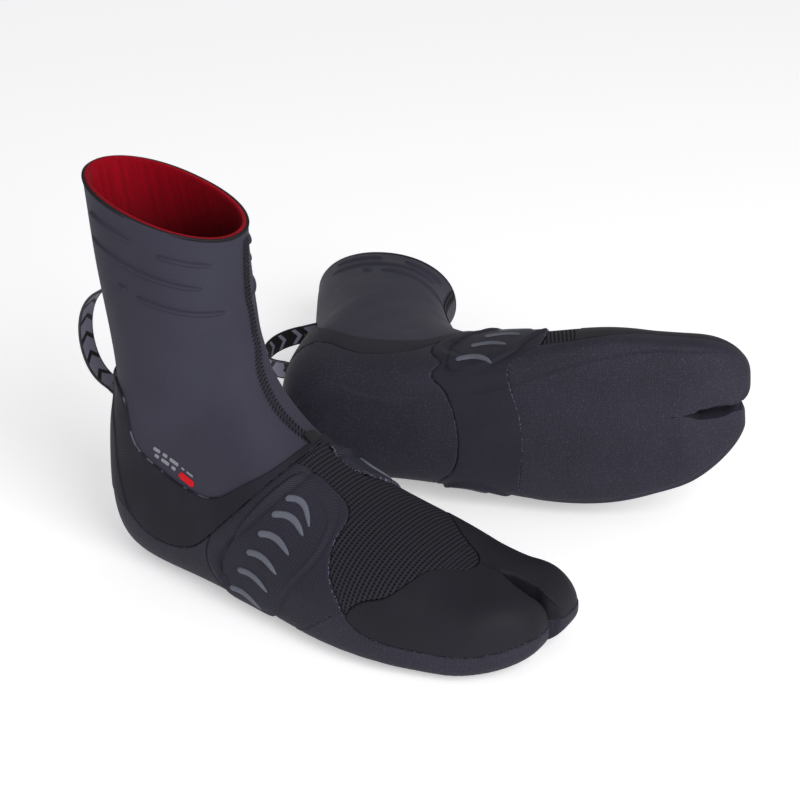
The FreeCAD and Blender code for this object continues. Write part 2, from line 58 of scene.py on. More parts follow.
# ---- the boot's shape ----------------------------------------------------------------------
# Rings from the toe root (0) over the instep to the cuff (13): top y, z, bottom y, z, outer and
# inner half-width, height of the widest point as a share, and how square each half is.
STATIONS = np.array([
    (190, 45, 190, 1.2, 44, 44, 0.34, 2.5, 4.2),
    (155, 57, 159, 1.2, 53, 46.5, 0.32, 2.3, 4.2),
    (119, 70, 124, 1.2, 54, 42, 0.32, 2.2, 4.2),
    (88.5, 86.5, 90, 1.2, 49, 37, 0.32, 2.1, 4.0),
    (69, 102.5, 60, 1.2, 44.5, 34, 0.32, 2.1, 3.8),
    (58, 116.5, 30, 1.2, 41, 34, 0.32, 2.1, 3.6),
    (52, 127.5, 0, 1.2, 39, 35, 0.34, 2.1, 3.4),
    (49.5, 137, -24.5, 6, 37.5, 36, 0.37, 2.1, 3.0),
    (47, 143.5, -36.5, 24, 37, 37, 0.40, 2.1, 2.6),
    (45, 150, -39.5, 51, 37, 37, 0.43, 2.1, 2.3),
    (43, 157, -38, 80, 37, 37, 0.48, 2.1, 2.2),
    (41, 166, -35.5, 111, 37, 37, 0.5, 2.1, 2.1),
    (41, 183, -45, 167, 37, 37, 0.5, 2.1, 2.1),
    (42.5, 202, -54, 223, 36, 36, 0.5, 2.1, 2.1),
])
CUFF = len(STATIONS) - 1.0
FRONT_RING = 0.4            # rings below this one belong to the two toes
TOE_ROOT_Y = 190.0
SLOT_X = -3.0
# Outer edge x at the root, tip x, tip y, fullness of the outer and inner edges.
TOES = {"big_toe": (-44.0, -20.0, 234.0, 2.2, 4.5), "toes": (44.0, 10.0, 230.5, 1.4, 7.0)}
TOE_CENTRE_Z = 13.0
TOE_SPRING = 10.5           # how far the tips curl up off the floor
SLOT_ROOT_Y = 198.0
SLOT_HALF = 2.5
TOE_ROUNDING = 0.42         # share of a round section in each toe's own section

LEFT_TURN = (23.5, 5.4, -94.2)      # about Z, X and Y, degrees
LEFT_PLACE = Vector((-78.4, 50.2, 53.4))

# ---- seam lines: side lines are (y, z), top lines are (x, y) --------------------------------
HEEL_CUP_TOP = [(-80, 112), (-44, 112), (-24, 111), (-14, 106), (-10.5, 97), (-9, 88), (-5, 79),
                (4, 72.5), (21, 65.5), (37, 62.7), (44, 63), (54, 67.5), (64.5, 75.5), (75, 82.5),
                (84, 90.5), (94, 100)]
HEEL_CUP_TOP_INNER = [(-80, 96), (-44, 92), (-30, 80), (-14, 62), (0, 52), (15, 46.5), (30, 45),
                      (44, 47), (54, 54), (64.5, 66), (75, 79), (84, 90.5), (94, 100)]
RIM_LINE = [(-70, 44), (-43, 43), (-25, 41.5), (-14, 36), (-2, 27.5), (13, 24.8), (25.5, 26.9),
            (37, 32.8), (50, 46), (59, 56), (68, 66), (78, 78), (86, 87), (94, 97)]
BAND_REAR = [(47.5, 43.5), (44, 30), (48.5, 18), (58.5, 8), (68, 2), (73, -6)]
BAND_FRONT_OUTER = [(103, -6), (106, 1), (113, 9), (120, 16.5), (130, 25), (138.5, 32)]
BAND_SIDE_OUTER = [(138.5, 32), (131, 40.5), (126, 49), (123.2, 57), (122.7, 63)]
BAND_FRONT_INNER = [(103, -6), (106, 1), (112, 8), (117, 16), (119.7, 27), (119.7, 45), (119.7, 64)]
TOE_SEAM = [(176, 18.5), (192, 17.6), (205, 17.8), (213, 19), (222, 21.5), (232, 25), (244, 28)]
SOLE_SEAM_OUTER = [(138.5, 32), (143, 27), (150, 22.8), (160, 20)] + TOE_SEAM
SOLE_SEAM_INNER = [(116.6, 16), (130, 14.5), (140, 14), (150, 14.2), (160, 15.3), (168, 17)] + TOE_SEAM
VAMP_OUTER = [(16.6, 85.3), (15, 89), (12.5, 97), (12.5, 105), (14.5, 115), (19, 120.5),
              (25, 122.7), (34, 122.7)]
VAMP_INNER = [(-9.7, 86.2), (-7.5, 99), (-9, 108), (-14, 113.5), (-21, 118), (-27, 119.7),
              (-36, 119.7)]
TOE_CAP_REAR = [(60, 134), (54, 140.5), (48, 152), (43, 160.5), (32, 167), (22, 171), (14, 178),
                (7, 186), (-2, 187.5), (-9, 182.5), (-14, 173), (-22, 162), (-33, 150),
                (-44, 138), (-54, 127)]
POD = [(86, 79), (91, 81), (102, 76), (115, 67), (118.5, 60), (117, 52), (111, 43), (104, 33),
       (98, 22), (94, 12), (85, 8), (72, 7), (60, 10), (56, 20), (58, 32), (62, 42), (70, 57),
       (80, 72)]
SOLE_PLATE = [(0, -27), (-14, -23), (-22, -14), (-25, -3), (-22, 8), (-18, 22), (-17, 45),
              (-18, 70), (-22, 96), (-30, 123), (-36, 144), (-40, 167), (-41, 190), (-38, 215),
              (-30, 226), (0, 232), (22, 219), (36, 200), (43, 183), (48, 160), (50, 135),
              (49, 110), (45, 85), (41, 60), (37, 30), (34, 5), (29, -12), (16, -24)]
HEEL_COUNTER = [(-28, 112), (-24.5, 96), (-21.5, 82), (-20.3, 68), (-18.3, 56.5), (-16.4, 46), (-12, 34)]

INNER_SHIFT = 9.0           # how far the band's rear edge lies further forward on the inner side
FRONT_SEAM = [(82, -6), (94, 0), (106, 3), (120, 2), (135, -2), (152, -6), (175, -7.5), (225, -5)]
ANKLE_Y = 15.0
ANKLE_BENDS = (93.0, 124.0)         # two heights at the ankle, handed to the pieces between foot and leg
TOE_BENDS, TOE_BEND_Z = (196.0, 211.0), 20.0        # two places along y by the toe root, handed to the toe pieces

# ---- heights above the foam, and the lining's depth below it --------------------------------
HEEL_CUP, BAND, SOLE, CAP, VAMP = 1.4, 1.5, 1.7, 1.3, 0.7
LINING_DEPTH = -3.6


def natural_bends(values):
    """Second derivatives of the natural cubic spline through equally spaced rows."""
    count = len(values)
    matrix = np.eye(count)
    known = np.zeros_like(values)
    for i in range(1, count - 1):
        matrix[i, i - 1:i + 2] = (1.0, 4.0, 1.0)
        known[i] = 6.0 * (values[i - 1] - 2.0 * values[i] + values[i + 1])
    return np.linalg.solve(matrix, known)


def spline_at(values, bends, s):
    """Value of the natural spline at row number s, for an array of s."""
    i = np.clip(np.floor(s).astype(int), 0, len(values) - 2)
    t = (s - i)[..., None]
    r = 1.0 - t
    curved = (r**3 - r) * bends[i] + (t**3 - t) * bends[i + 1]
    return r * values[i] + t * values[i + 1] + curved / 6.0


STATION_BENDS = natural_bends(STATIONS)


def smooth(value, low, high):
    """0 below low, 1 above high, and an S-curve between."""
    t = np.clip((value - low) / (high - low), 0.0, 1.0)
    return t * t * (3.0 - 2.0 * t)


def bump(value, centre, width):
    """1 at the centre, and falling off smoothly within about a width on both sides."""
    return np.exp(-((value - centre) / width) ** 2)


def ring_radius(sin, cos, half_width, half_height, power):
    return (np.abs(sin / half_width) ** power + np.abs(cos / half_height) ** power) ** (-1.0 / power)


def boot_point(s, degrees):
    """Foam surface: angle 0 is the bottom or back, 90 the outer side, 180 the top or front."""
    s, degrees = np.broadcast_arrays(np.asarray(s, float), np.asarray(degrees, float))
    top_y, top_z, low_y, low_z, outer, inner, widest, top_power, low_power = np.moveaxis(
        spline_at(STATIONS, STATION_BENDS, s), -1, 0)
    height = np.hypot(top_y - low_y, top_z - low_z)
    cos, sin = np.cos(np.radians(degrees)), np.sin(np.radians(degrees))
    # The cuff is pressed a little flat, so its front closes to a soft point.
    pinch = 1.0 - 0.10 * smooth(s, 11.0, 13.0)
    half_height = np.where(cos > 0, widest, 1.0 - widest) * height
    half_width = np.where(sin > 0, outer, inner) * pinch
    power = np.where(cos > 0, low_power, top_power)
    reach = ring_radius(sin, cos, half_width, half_height, power)
    along = widest - reach * cos / height
    return np.stack([reach * sin, low_y + (top_y - low_y) * along, low_z + (top_z - low_z) * along], -1)


def boot_normal(s, degrees):
    """Outward direction of the foam surface."""
    ahead = boot_point(s + 0.01, degrees) - boot_point(s - 0.01, degrees)
    around = boot_point(s, degrees + 0.2) - boot_point(s, degrees - 0.2)
    normal = np.cross(around, ahead)
    return normal / np.linalg.norm(normal, axis=-1, keepdims=True)


def over_surface(s, degrees, offset):
    """Places at a height over the foam surface."""
    return boot_point(s, degrees) + boot_normal(s, degrees) * np.asarray(offset)[..., None]


def across_ring(row, side):
    """Measures of rings: ends, height, widest place, half-width on one side, and the two powers."""
    top_y, top_z, low_y, low_z, outer, inner, widest, top_power, low_power = np.moveaxis(row, -1, 0)
    height = np.hypot(top_y - low_y, top_z - low_z)
    return top_y, top_z, low_y, low_z, height, widest, outer if side > 0 else inner, top_power, low_power


def surface_at(y, z, side):
    """Ring and angle of the surface point that shows at (y, z) from the side."""
    y, z = np.broadcast_arrays(np.asarray(y, float), np.asarray(z, float))
    low, high = np.zeros(y.shape), np.full(y.shape, CUFF)
    for _ in range(40):
        s = (low + high) / 2.0
        row = spline_at(STATIONS, STATION_BENDS, s)
        across_y, across_z = row[..., 0] - row[..., 2], row[..., 1] - row[..., 3]
        ahead = across_y * (z - row[..., 3]) - across_z * (y - row[..., 2])
        low, high = np.where(ahead > 0, s, low), np.where(ahead > 0, high, s)
    top_y, top_z, low_y, low_z, height, widest, half_width, top_power, low_power = across_ring(row, side)
    along = ((y - low_y) * (top_y - low_y) + (z - low_z) * (top_z - low_z)) / height
    down = widest * height - along
    half_height = np.where(down > 0, widest, 1.0 - widest) * height
    power = np.where(down > 0, low_power, top_power)
    share = np.maximum(1.0 - np.abs(down / half_height) ** power, 0.0) ** (1.0 / power)
    return s, np.degrees(np.arctan2(side * half_width * share, down))


# ---- sheets: triangles that carry named values at every vertex ------------------------------
class Sheet:
    """Triangles, and one array of values per name."""

    def __init__(self, values, tris):
        self.values = values
        self.tris = tris

    def __getitem__(self, name):
        return self.values[name]

    def __setitem__(self, name, value):
        self.values[name] = value

    def copy(self):
        return Sheet(dict(self.values), self.tris)

    def places(self, names=("x", "y", "z")):
        return np.stack([self.values[n] for n in names], -1)


def grid_tris(index):
    """Two triangles in every cell of a grid, or of a stack of grids, of vertex numbers."""
    a, b = index[..., :-1, :-1], index[..., 1:, :-1]
    c, d = index[..., 1:, 1:], index[..., :-1, 1:]
    return np.concatenate([np.stack(t, -1).reshape(-1, 3) for t in ((a, c, b), (a, d, c))])


def strip_mesh(rows):
    """Open sheet over a grid of places, as places and triangles."""
    count, across = rows.shape[:2]
    return rows.reshape(-1, 3), grid_tris(np.arange(count * across).reshape(count, across))


def grid_sheet(points, **values):
    """Sheet over a grid of points."""
    places, tris = strip_mesh(points)
    held = {n: v.reshape(-1) for n, v in values.items()}
    held.update(zip(("x", "y", "z"), places.T))
    return Sheet(held, tris)


def weld_keys(places, spacing):
    """One whole number per place; places within a spacing of each other share it."""
    cells = np.round(places / spacing).astype(np.int64) + (1 << 20)
    return (cells[:, 0] << 42) | (cells[:, 1] << 21) | cells[:, 2]


def shared_edges(pairs):
    """The different edges among vertex pairs, and which of them each pair is."""
    pairs = np.sort(pairs, 1).astype(np.int64)
    keys, which = np.unique((pairs[:, 0] << 32) | pairs[:, 1], return_inverse=True)
    return np.stack([keys >> 32, keys & 0xFFFFFFFF], 1), which.reshape(-1)


def joined(sheets):
    names = set.intersection(*[set(s.values) for s in sheets])
    tris, start = [], 0
    for s in sheets:
        tris.append(s.tris + start)
        start += len(s["x"])
    return Sheet({n: np.concatenate([s[n] for s in sheets]) for n in names}, np.concatenate(tris))


def compact(sheet):
    """The sheet without vertices that no triangle uses."""
    used, tris = np.unique(sheet.tris, return_inverse=True)
    return Sheet({n: v[used] for n, v in sheet.values.items()}, tris.reshape(-1, 3))


def part_at(sheet, name, level=0.0, drop=True):
    """Cuts the triangles along the line where a value equals level; drop leaves out what is below."""
    value = sheet[name] - level
    value = np.where(np.abs(value) < 1e-4, 1e-4, value)
    above = value > 0
    count = above[sheet.tris].sum(1)
    kept = [sheet.tris[count == 3]] if drop else [sheet.tris[(count == 3) | (count == 0)]]
    mixed = sheet.tris[(count == 1) | (count == 2)]
    if len(mixed) == 0:
        return compact(Sheet(sheet.values, kept[0]))
    lone = above[mixed] == (count[(count == 1) | (count == 2)] == 1)[:, None]
    turned = mixed[np.arange(len(mixed))[:, None], (lone.argmax(1)[:, None] + np.arange(3)) % 3]
    edges = np.concatenate([turned[:, [0, 1]], turned[:, [0, 2]]])
    edges, which = shared_edges(edges)
    which = which + len(value)
    low, high = edges.T
    share = value[low] / (value[low] - value[high])
    values = {n: np.concatenate([v, v[low] + (v[high] - v[low]) * share]) for n, v in sheet.values.items()}
    a, b, c = turned.T
    ab, ac = which[:len(turned)], which[len(turned):]
    tip = np.stack([a, ab, ac], 1)
    rest = np.concatenate([np.stack([ab, b, c], 1), np.stack([ab, c, ac], 1)])
    tip_above = above[a]
    if drop:
        kept += [tip[tip_above], rest[np.tile(~tip_above, 2)]]
    else:
        kept += [tip, rest]
    return compact(Sheet(values, np.concatenate(kept)))


def refined(sheet):
    """Every triangle divided into four."""
    t = sheet.tris
    edges = np.concatenate([t[:, [0, 1]], t[:, [1, 2]], t[:, [2, 0]]])
    edges, which = shared_edges(edges)
    which = which.reshape(3, -1) + len(sheet["x"])
    low, high = edges.T
    values = {n: np.concatenate([v, (v[low] + v[high]) / 2.0]) for n, v in sheet.values.items()}
    a, b, c = t.T
    ab, bc, ca = which
    corners = ((a, ab, ca), (ab, b, bc), (ca, bc, c), (ab, bc, ca))
    return Sheet(values, np.concatenate([np.stack(k, 1) for k in corners]))


def add_normals(sheet, names=("nx", "ny", "nz")):
    """Area-weighted vertex normals of the welded sheet."""
    places = sheet.places()
    corners = places[sheet.tris]
    face = np.cross(corners[:, 1] - corners[:, 0], corners[:, 2] - corners[:, 0])
    _, same = np.unique(weld_keys(places, 0.02), return_inverse=True)
    same = same.reshape(-1)
    total = np.zeros((same.max() + 1, 3))
    for k in range(3):
        np.add.at(total, same[sheet.tris[:, k]], face)
    normal = total[same]
    normal /= np.linalg.norm(normal, axis=1, keepdims=True) + 1e-12
    for n, v in zip(names, normal.T):
        sheet[n] = v


def raised(sheet, offset):
    """Vertex places moved off the foam along its normals."""
    return sheet.places() + sheet.places(("nx", "ny", "nz")) * np.asarray(offset)[..., None]


# ---- smooth lines ---------------------------------------------------------------------------
def smooth_line(points, closed=False, per_span=6):
    """Points of the smooth curve through an outline."""
    points = np.array(points, float)
    if closed:
        points = np.concatenate([points[-3:], points, points[:4]])
    bends = natural_bends(points)
    first, last = (3, len(points) - 4) if closed else (0, len(points) - 1)
    return spline_at(points, bends, np.linspace(first, last, (last - first) * per_span + 1))


def path_run(path):
    """Length run at every point of a path."""
    return np.concatenate([[0.0], np.cumsum(np.linalg.norm(np.diff(path, axis=0), axis=1))])


def line_distance(u, v, line, closed=False):
    """Signed distance to a line in its plane, positive on the left of its direction."""
    path = smooth_line(line, closed)
    if not closed:
        far = 300.0
        begin, end = path[0] - path[1], path[-1] - path[-2]
        path = np.concatenate([[path[0] + begin / np.linalg.norm(begin) * far], path,
                               [path[-1] + end / np.linalg.norm(end) * far]])
    nearest = np.full(len(u), np.inf)
    side = np.zeros(len(u))
    for (a_u, a_v), (b_u, b_v) in zip(path[:-1], path[1:]):
        du, dv = b_u - a_u, b_v - a_v
        pu, pv = u - a_u, v - a_v
        share = np.clip((pu * du + pv * dv) / (du * du + dv * dv), 0.0, 1.0)
        pu = pu - share * du
        pv = pv - share * dv
        gap = pu * pu + pv * pv
        closer = gap < nearest
        nearest = np.where(closer, gap, nearest)
        side = np.where(closer, du * pv - dv * pu, side)
    return np.sqrt(nearest) * np.where(side >= 0, 1.0, -1.0)


# ---- the base surface -----------------------------------------------------------------------
COLUMN_DEGREES = np.linspace(-180.0, 180.0, 421)[:-1]


def ring_rows():
    """Ring numbers about a millimetre apart on the foot, and wider apart up the leg."""
    rows = [FRONT_RING]
    while rows[-1] < CUFF:
        s = rows[-1]
        here, there = boot_point(s, COLUMN_DEGREES[::20]), boot_point(s + 0.02, COLUMN_DEGREES[::20])
        speed = np.linalg.norm(there - here, axis=1).max() / 0.02
        rows.append(s + (1.1 if s < 8.0 else 1.6) / speed)
    rows[-1] = CUFF
    return np.array(rows)


def lengths_along(points, axis):
    """Length run along a grid of points, in the direction of one axis."""
    step = np.linalg.norm(np.diff(points, axis=axis), axis=-1)
    pad = [(0, 0), (0, 0)]
    pad[axis] = (1, 0)
    return np.cumsum(np.pad(step, pad), axis=axis)


def hull_sheet():
    """Foot and leg from just behind the toe root to the cuff."""
    s, degrees = np.meshgrid(ring_rows(), np.append(COLUMN_DEGREES, 180.0), indexing="ij")
    points = boot_point(s, degrees)
    u = lengths_along(points, 1)
    u -= u[:, u.shape[1] // 2][:, None]
    from_top = np.where(degrees > 0, u - u[:, -1:], u - u[:, :1])
    none = np.zeros(u.shape)
    return grid_sheet(points, u=u, v=lengths_along(points, 0), w=from_top, s=s, a=degrees, toe_wall=none)


def eased(y, values, low, high):
    """Replaces a stretch of values by one cubic with the same ends and slopes."""
    slope = np.gradient(values, y)
    start, end = np.interp([low, high], y, values)
    start_slope, end_slope = np.interp([low, high], y, slope) * (high - low)
    t = np.clip((y - low) / (high - low), 0.0, 1.0)
    cubic = ((2 * t**3 - 3 * t**2 + 1) * start + (t**3 - 2 * t**2 + t) * start_slope
             + (3 * t**2 - 2 * t**3) * end + (t**3 - t**2) * end_slope)
    return np.where((y > low) & (y < high), cubic, values)


def toe_rows(toe):
    """Sections of one toe from the front ring to its tip, as one array per measure."""
    outer_x, tip_x, tip_y, outer_full, inner_full = TOES[toe]
    side = math.copysign(1.0, outer_x)
    ring = np.concatenate([np.linspace(FRONT_RING, 0.0, 14), np.zeros(75)])
    stations = spline_at(STATIONS, STATION_BENDS, ring)
    ahead = (tip_y - TOE_ROOT_Y) * np.sin(np.linspace(0.0, math.pi / 2.0, 76))
    y = np.concatenate([stations[:14, 0], TOE_ROOT_Y + ahead[1:]])
    share = np.concatenate([np.zeros(14), ahead[1:] / (tip_y - TOE_ROOT_Y)])

    def closing(full):
        return np.maximum(1.0 - share**full, 0.0) ** (1.0 / full)

    # The slot is open in its middle, and the tips touch.
    gap = 0.2 + (SLOT_HALF - 0.2) * smooth(y, SLOT_ROOT_Y, SLOT_ROOT_Y + 9.0) * smooth(y, 227.5, 218.0)
    inner_x = SLOT_X + side * gap * smooth(y, SLOT_ROOT_Y - 1.0, SLOT_ROOT_Y + 1.0)
    outline = side * stations[:, 4 if side > 0 else 5]
    edge_out = np.where(share > 0, tip_x + (outer_x - tip_x) * closing(outer_full), outline)
    top = np.where(share > 0, TOE_CENTRE_Z + (45.0 - TOE_CENTRE_Z) * closing(2.0), stations[:, 1])
    return {
        "y": y,
        "lean": stations[:, 2] - stations[:, 0],
        "edge_out": eased(y, edge_out, 177.5, 204.0),
        "edge_in": tip_x + (inner_x - tip_x) * closing(inner_full),
        "top": eased(y, top, 177.5, 206.0),
        "low": TOE_CENTRE_Z + (1.2 - TOE_CENTRE_Z) * closing(3.2),
        "other": stations[:, 5 if side > 0 else 4],
        "widest": stations[:, 6],
        "top_power": stations[:, 7],
        "low_power": stations[:, 8],
    }


def front_ring_half(side):
    """Places round one half of the front ring, from its bottom over the outer side to its top."""
    ring = boot_point(FRONT_RING, COLUMN_DEGREES)
    mine = side * (ring[:, 0] - SLOT_X) > 0.0
    turned = np.where(side * COLUMN_DEGREES < -170.0, COLUMN_DEGREES + side * 360.0, COLUMN_DEGREES)
    ring = ring[mine][np.argsort(side * turned[mine])]
    ends = []
    for centre in (0.0, 180.0):
        degrees = np.linspace(centre - 20.0, centre + 20.0, 401)
        x = boot_point(FRONT_RING, degrees)[:, 0]
        order = np.argsort(x)
        ends.append(boot_point(FRONT_RING, np.interp(SLOT_X, x[order], degrees[order])))
    return ends[0], ring, ends[1]


def undivided_reach(rows, side, dx, dz, cx, cz):
    """Distance from the toe's centre to the undivided forefoot or the slot's middle, by halving."""
    top, low = rows["top"][:, None], rows["low"][:, None]
    middle = low + (top - low) * rows["widest"][:, None]
    half_out = np.abs(rows["edge_out"])[:, None] + 1e-6
    half_in = rows["other"][:, None]
    wall = np.where(rows["y"] > TOE_ROOT_Y, rows["edge_in"], SLOT_X)[:, None]
    short, long = np.zeros((len(cx), dx.shape[1])), np.full((len(cx), dx.shape[1]), 120.0)
    for _ in range(36):
        r = (short + long) / 2.0
        px, pz = cx + r * dx, cz + r * dz
        tall = np.where(pz > middle, top - middle, middle - low) + 1e-6
        power = np.where(pz > middle, rows["top_power"][:, None], rows["low_power"][:, None])
        wide = np.where(side * px > 0, half_out, half_in)
        level = (np.abs(px) / wide) ** power + (np.abs(pz - middle) / tall) ** power
        outside = (level > 1.0) | (side * (px - wall) < 0.0)
        short, long = np.where(outside, short, r), np.where(outside, r, long)
    return (short + long) / 2.0


def undivided_levels(rows, side):
    """Heights of the undivided forefoot's bottom and top over the slot's line."""
    wide = np.where(side * SLOT_X > 0, np.abs(rows["edge_out"]), rows["other"])
    middle = rows["low"] + (rows["top"] - rows["low"]) * rows["widest"]
    for end in ("low", "top"):
        power = rows[end + "_power"]
        yield middle + (rows[end] - middle) * (1.0 - (abs(SLOT_X) / wide) ** power) ** (1.0 / power)


def toe_sheet(toe):
    """Half of the forefoot's front that grows into one toe, with its wall along the slot."""
    rows = toe_rows(toe)
    side = math.copysign(1.0, TOES[toe][0])
    cx = ((rows["edge_out"] + rows["edge_in"]) / 2.0)[:, None]
    cz = (rows["low"] + (rows["top"] - rows["low"]) * 0.4)[:, None]
    bottom, ring, crest = front_ring_half(side)
    wall = crest + (bottom - crest) * np.linspace(0.0, 1.0, 36)[1:-1, None]
    start = np.concatenate([[bottom], ring, [crest], wall])
    across = np.stack([start[:, 0] - cx[0], start[:, 2] - cz[0]], -1)
    across /= np.linalg.norm(across, axis=1, keepdims=True)
    dx, dz = across[:, 0][None], across[:, 1][None]
    whole = undivided_reach(rows, side, dx, dz, cx, cz)
    half_width = np.abs(rows["edge_out"] - rows["edge_in"])[:, None] / 2.0 + 1e-6
    tall = np.where(dz < 0, cz - rows["low"][:, None], rows["top"][:, None] - cz) + 1e-6
    toe_reach = ring_radius(dx, dz, half_width, tall, np.where(dz < 0, 3.4, 2.4))
    mix = TOE_ROUNDING * smooth(rows["y"], SLOT_ROOT_Y, 218.0)[:, None]
    r = whole * (1.0 - mix) + toe_reach * mix
    height = np.maximum(rows["top"] - rows["low"], 1e-6)[:, None]
    z = cz + r * dz
    # Behind the slot's root the two halves share one edge, and no wall stands between them.
    together = rows["y"] < SLOT_ROOT_Y
    x = cx + r * dx
    for column, level in zip((0, 1 + len(ring)), undivided_levels(rows, side)):
        x[together, column] = SLOT_X
        z[together, column] = level[together]
    y = rows["y"][:, None] + rows["lean"][:, None] * (1.0 - (z - rows["low"][:, None]) / height)
    z = z + TOE_SPRING * np.clip((y - TOE_ROOT_Y) / (TOES["big_toe"][2] - TOE_ROOT_Y), 0.0, None) ** 1.7
    points = np.stack([x, y, z], -1)
    points[0, 1:1 + len(ring)] = ring
    points[-1] = points[-1].mean(0)
    points = np.concatenate([points, points[:, :1]], 1)
    hidden = np.zeros(points.shape[:2])
    hidden[rows["y"] < SLOT_ROOT_Y - 1.5, 2 + len(ring):-1] = 1.0
    u = side * lengths_along(points, 1)
    v = -lengths_along(points, 0)
    if side > 0:
        points, u, v, hidden = points[::-1], u[::-1], v[::-1], hidden[::-1]
    none = np.zeros(u.shape)
    sheet = grid_sheet(points, u=u, v=v, w=u, s=none, a=none, toe_wall=none + side)
    sheet.tris = sheet.tris[hidden.reshape(-1)[sheet.tris].max(1) < 0.5]
    return compact(sheet)


def base_surface():
    hull = hull_sheet()
    base = joined([hull, toe_sheet("toes"), toe_sheet("big_toe")])
    add_normals(base)
    base["wall"] = smooth(-base["toe_wall"] * base["nx"], 0.5, 0.9)
    return base


# ---- fields that part the skins -------------------------------------------------------------
def above_cup_top(sheet):
    """Distance above the heel cup's top edge, which runs lower on the boot's inner side."""
    y, z = sheet["y"], sheet["z"]
    inner = smooth(-sheet["x"], -6.0, 14.0)
    return line_distance(y, z, HEEL_CUP_TOP) * (1.0 - inner) + line_distance(y, z, HEEL_CUP_TOP_INNER) * inner


def add_fields(foot):
    """Signed distances to the seams; each skin's field is positive inside it."""
    x, y, z = foot["x"], foot["y"], foot["z"]
    # Under the sole the band's two edges bow back at the sides.
    bowed = y + 0.006 * (x - 8.0) ** 2 * smooth(z, 14.0, 4.0)
    forward = INNER_SHIFT * smooth(-x, 4.0, 18.0) * smooth(z, 4.0, 16.0)
    below_top = -above_cup_top(foot)
    above_rim = line_distance(y - forward, z, RIM_LINE)
    ahead = line_distance(bowed - forward, z, BAND_REAR)
    outer_front = np.minimum(line_distance(bowed, z, BAND_FRONT_OUTER),
                             line_distance(y, z, BAND_SIDE_OUTER))
    inner_front = line_distance(bowed, z, BAND_FRONT_INNER)
    outer_vamp = -line_distance(x, y, VAMP_OUTER)
    inner_vamp = line_distance(x, y, VAMP_INNER)
    behind_front = np.where(x >= 0.0, np.where(z > 62.5, outer_vamp, outer_front),
                            np.where(z > 55.0, inner_vamp, inner_front))
    cap = -line_distance(x, y, TOE_CAP_REAR)
    above_seam = np.where(x >= SLOT_X, line_distance(y, z, SOLE_SEAM_OUTER),
                          line_distance(y, z, SOLE_SEAM_INNER))
    # Beside the instep the knit reaches up to the stitches between band and leg.
    above_seam = np.where((z > 45.0) & (y < 128.0), 50.0, above_seam)
    front = y > 160.0
    behind_front = np.where(front, -50.0, behind_front)
    cap = np.where(y > 192.0, 50.0, cap)
    foot["heel_cup"] = np.minimum(above_rim, below_top)
    foot["heel_sole"] = np.minimum(-above_rim, -ahead)
    foot["arch_band"] = np.minimum.reduce([-above_rim, ahead, behind_front])
    foot["vamp_mesh"] = np.minimum.reduce([-behind_front, -above_rim, -cap, above_seam])
    foot["toe_cap"] = np.minimum(cap, above_seam)
    foot["forefoot_sole"] = np.minimum.reduce([-behind_front, -above_seam, -above_rim])
    foot["rear_edge"] = np.minimum(-above_rim, ahead)
    foot["below_top"] = below_top
    foot["flush"] = smooth(np.abs(behind_front), 2.0, 1.0) * smooth(z, 36.0, 28.0)
    foot["pod"] = -line_distance(y - forward, z, POD, closed=True)
    foot["plate"] = np.where(z < 25.0, -line_distance(x, y, SOLE_PLATE, closed=True), -20.0)
    foot["counter"] = -line_distance(y, z, HEEL_COUNTER)


def skin_piece(foot, field, radius=0.8):
    """One skin cut from the foot along its seams, with extra lines where its edge rounds over."""
    piece = part_at(foot, field)
    for share in (0.06, 0.25, 0.55, 1.0):
        piece = part_at(piece, field, radius * share, drop=False)
    piece["edge"] = piece[field]
    return piece


def lip(distance, height, radius=0.8, depth=-0.35):
    """Height of a skin whose edge rounds down to the foam."""
    inside = 1.0 - np.clip(distance / radius, 0.0, 1.0)
    return depth + (height - depth) * np.sqrt(1.0 - inside**2)


def flush_depth(sheet):
    """Depth of a skin's edge: shallow where band and forefoot sole run into each other."""
    return -0.35 + 1.35 * sheet["flush"]


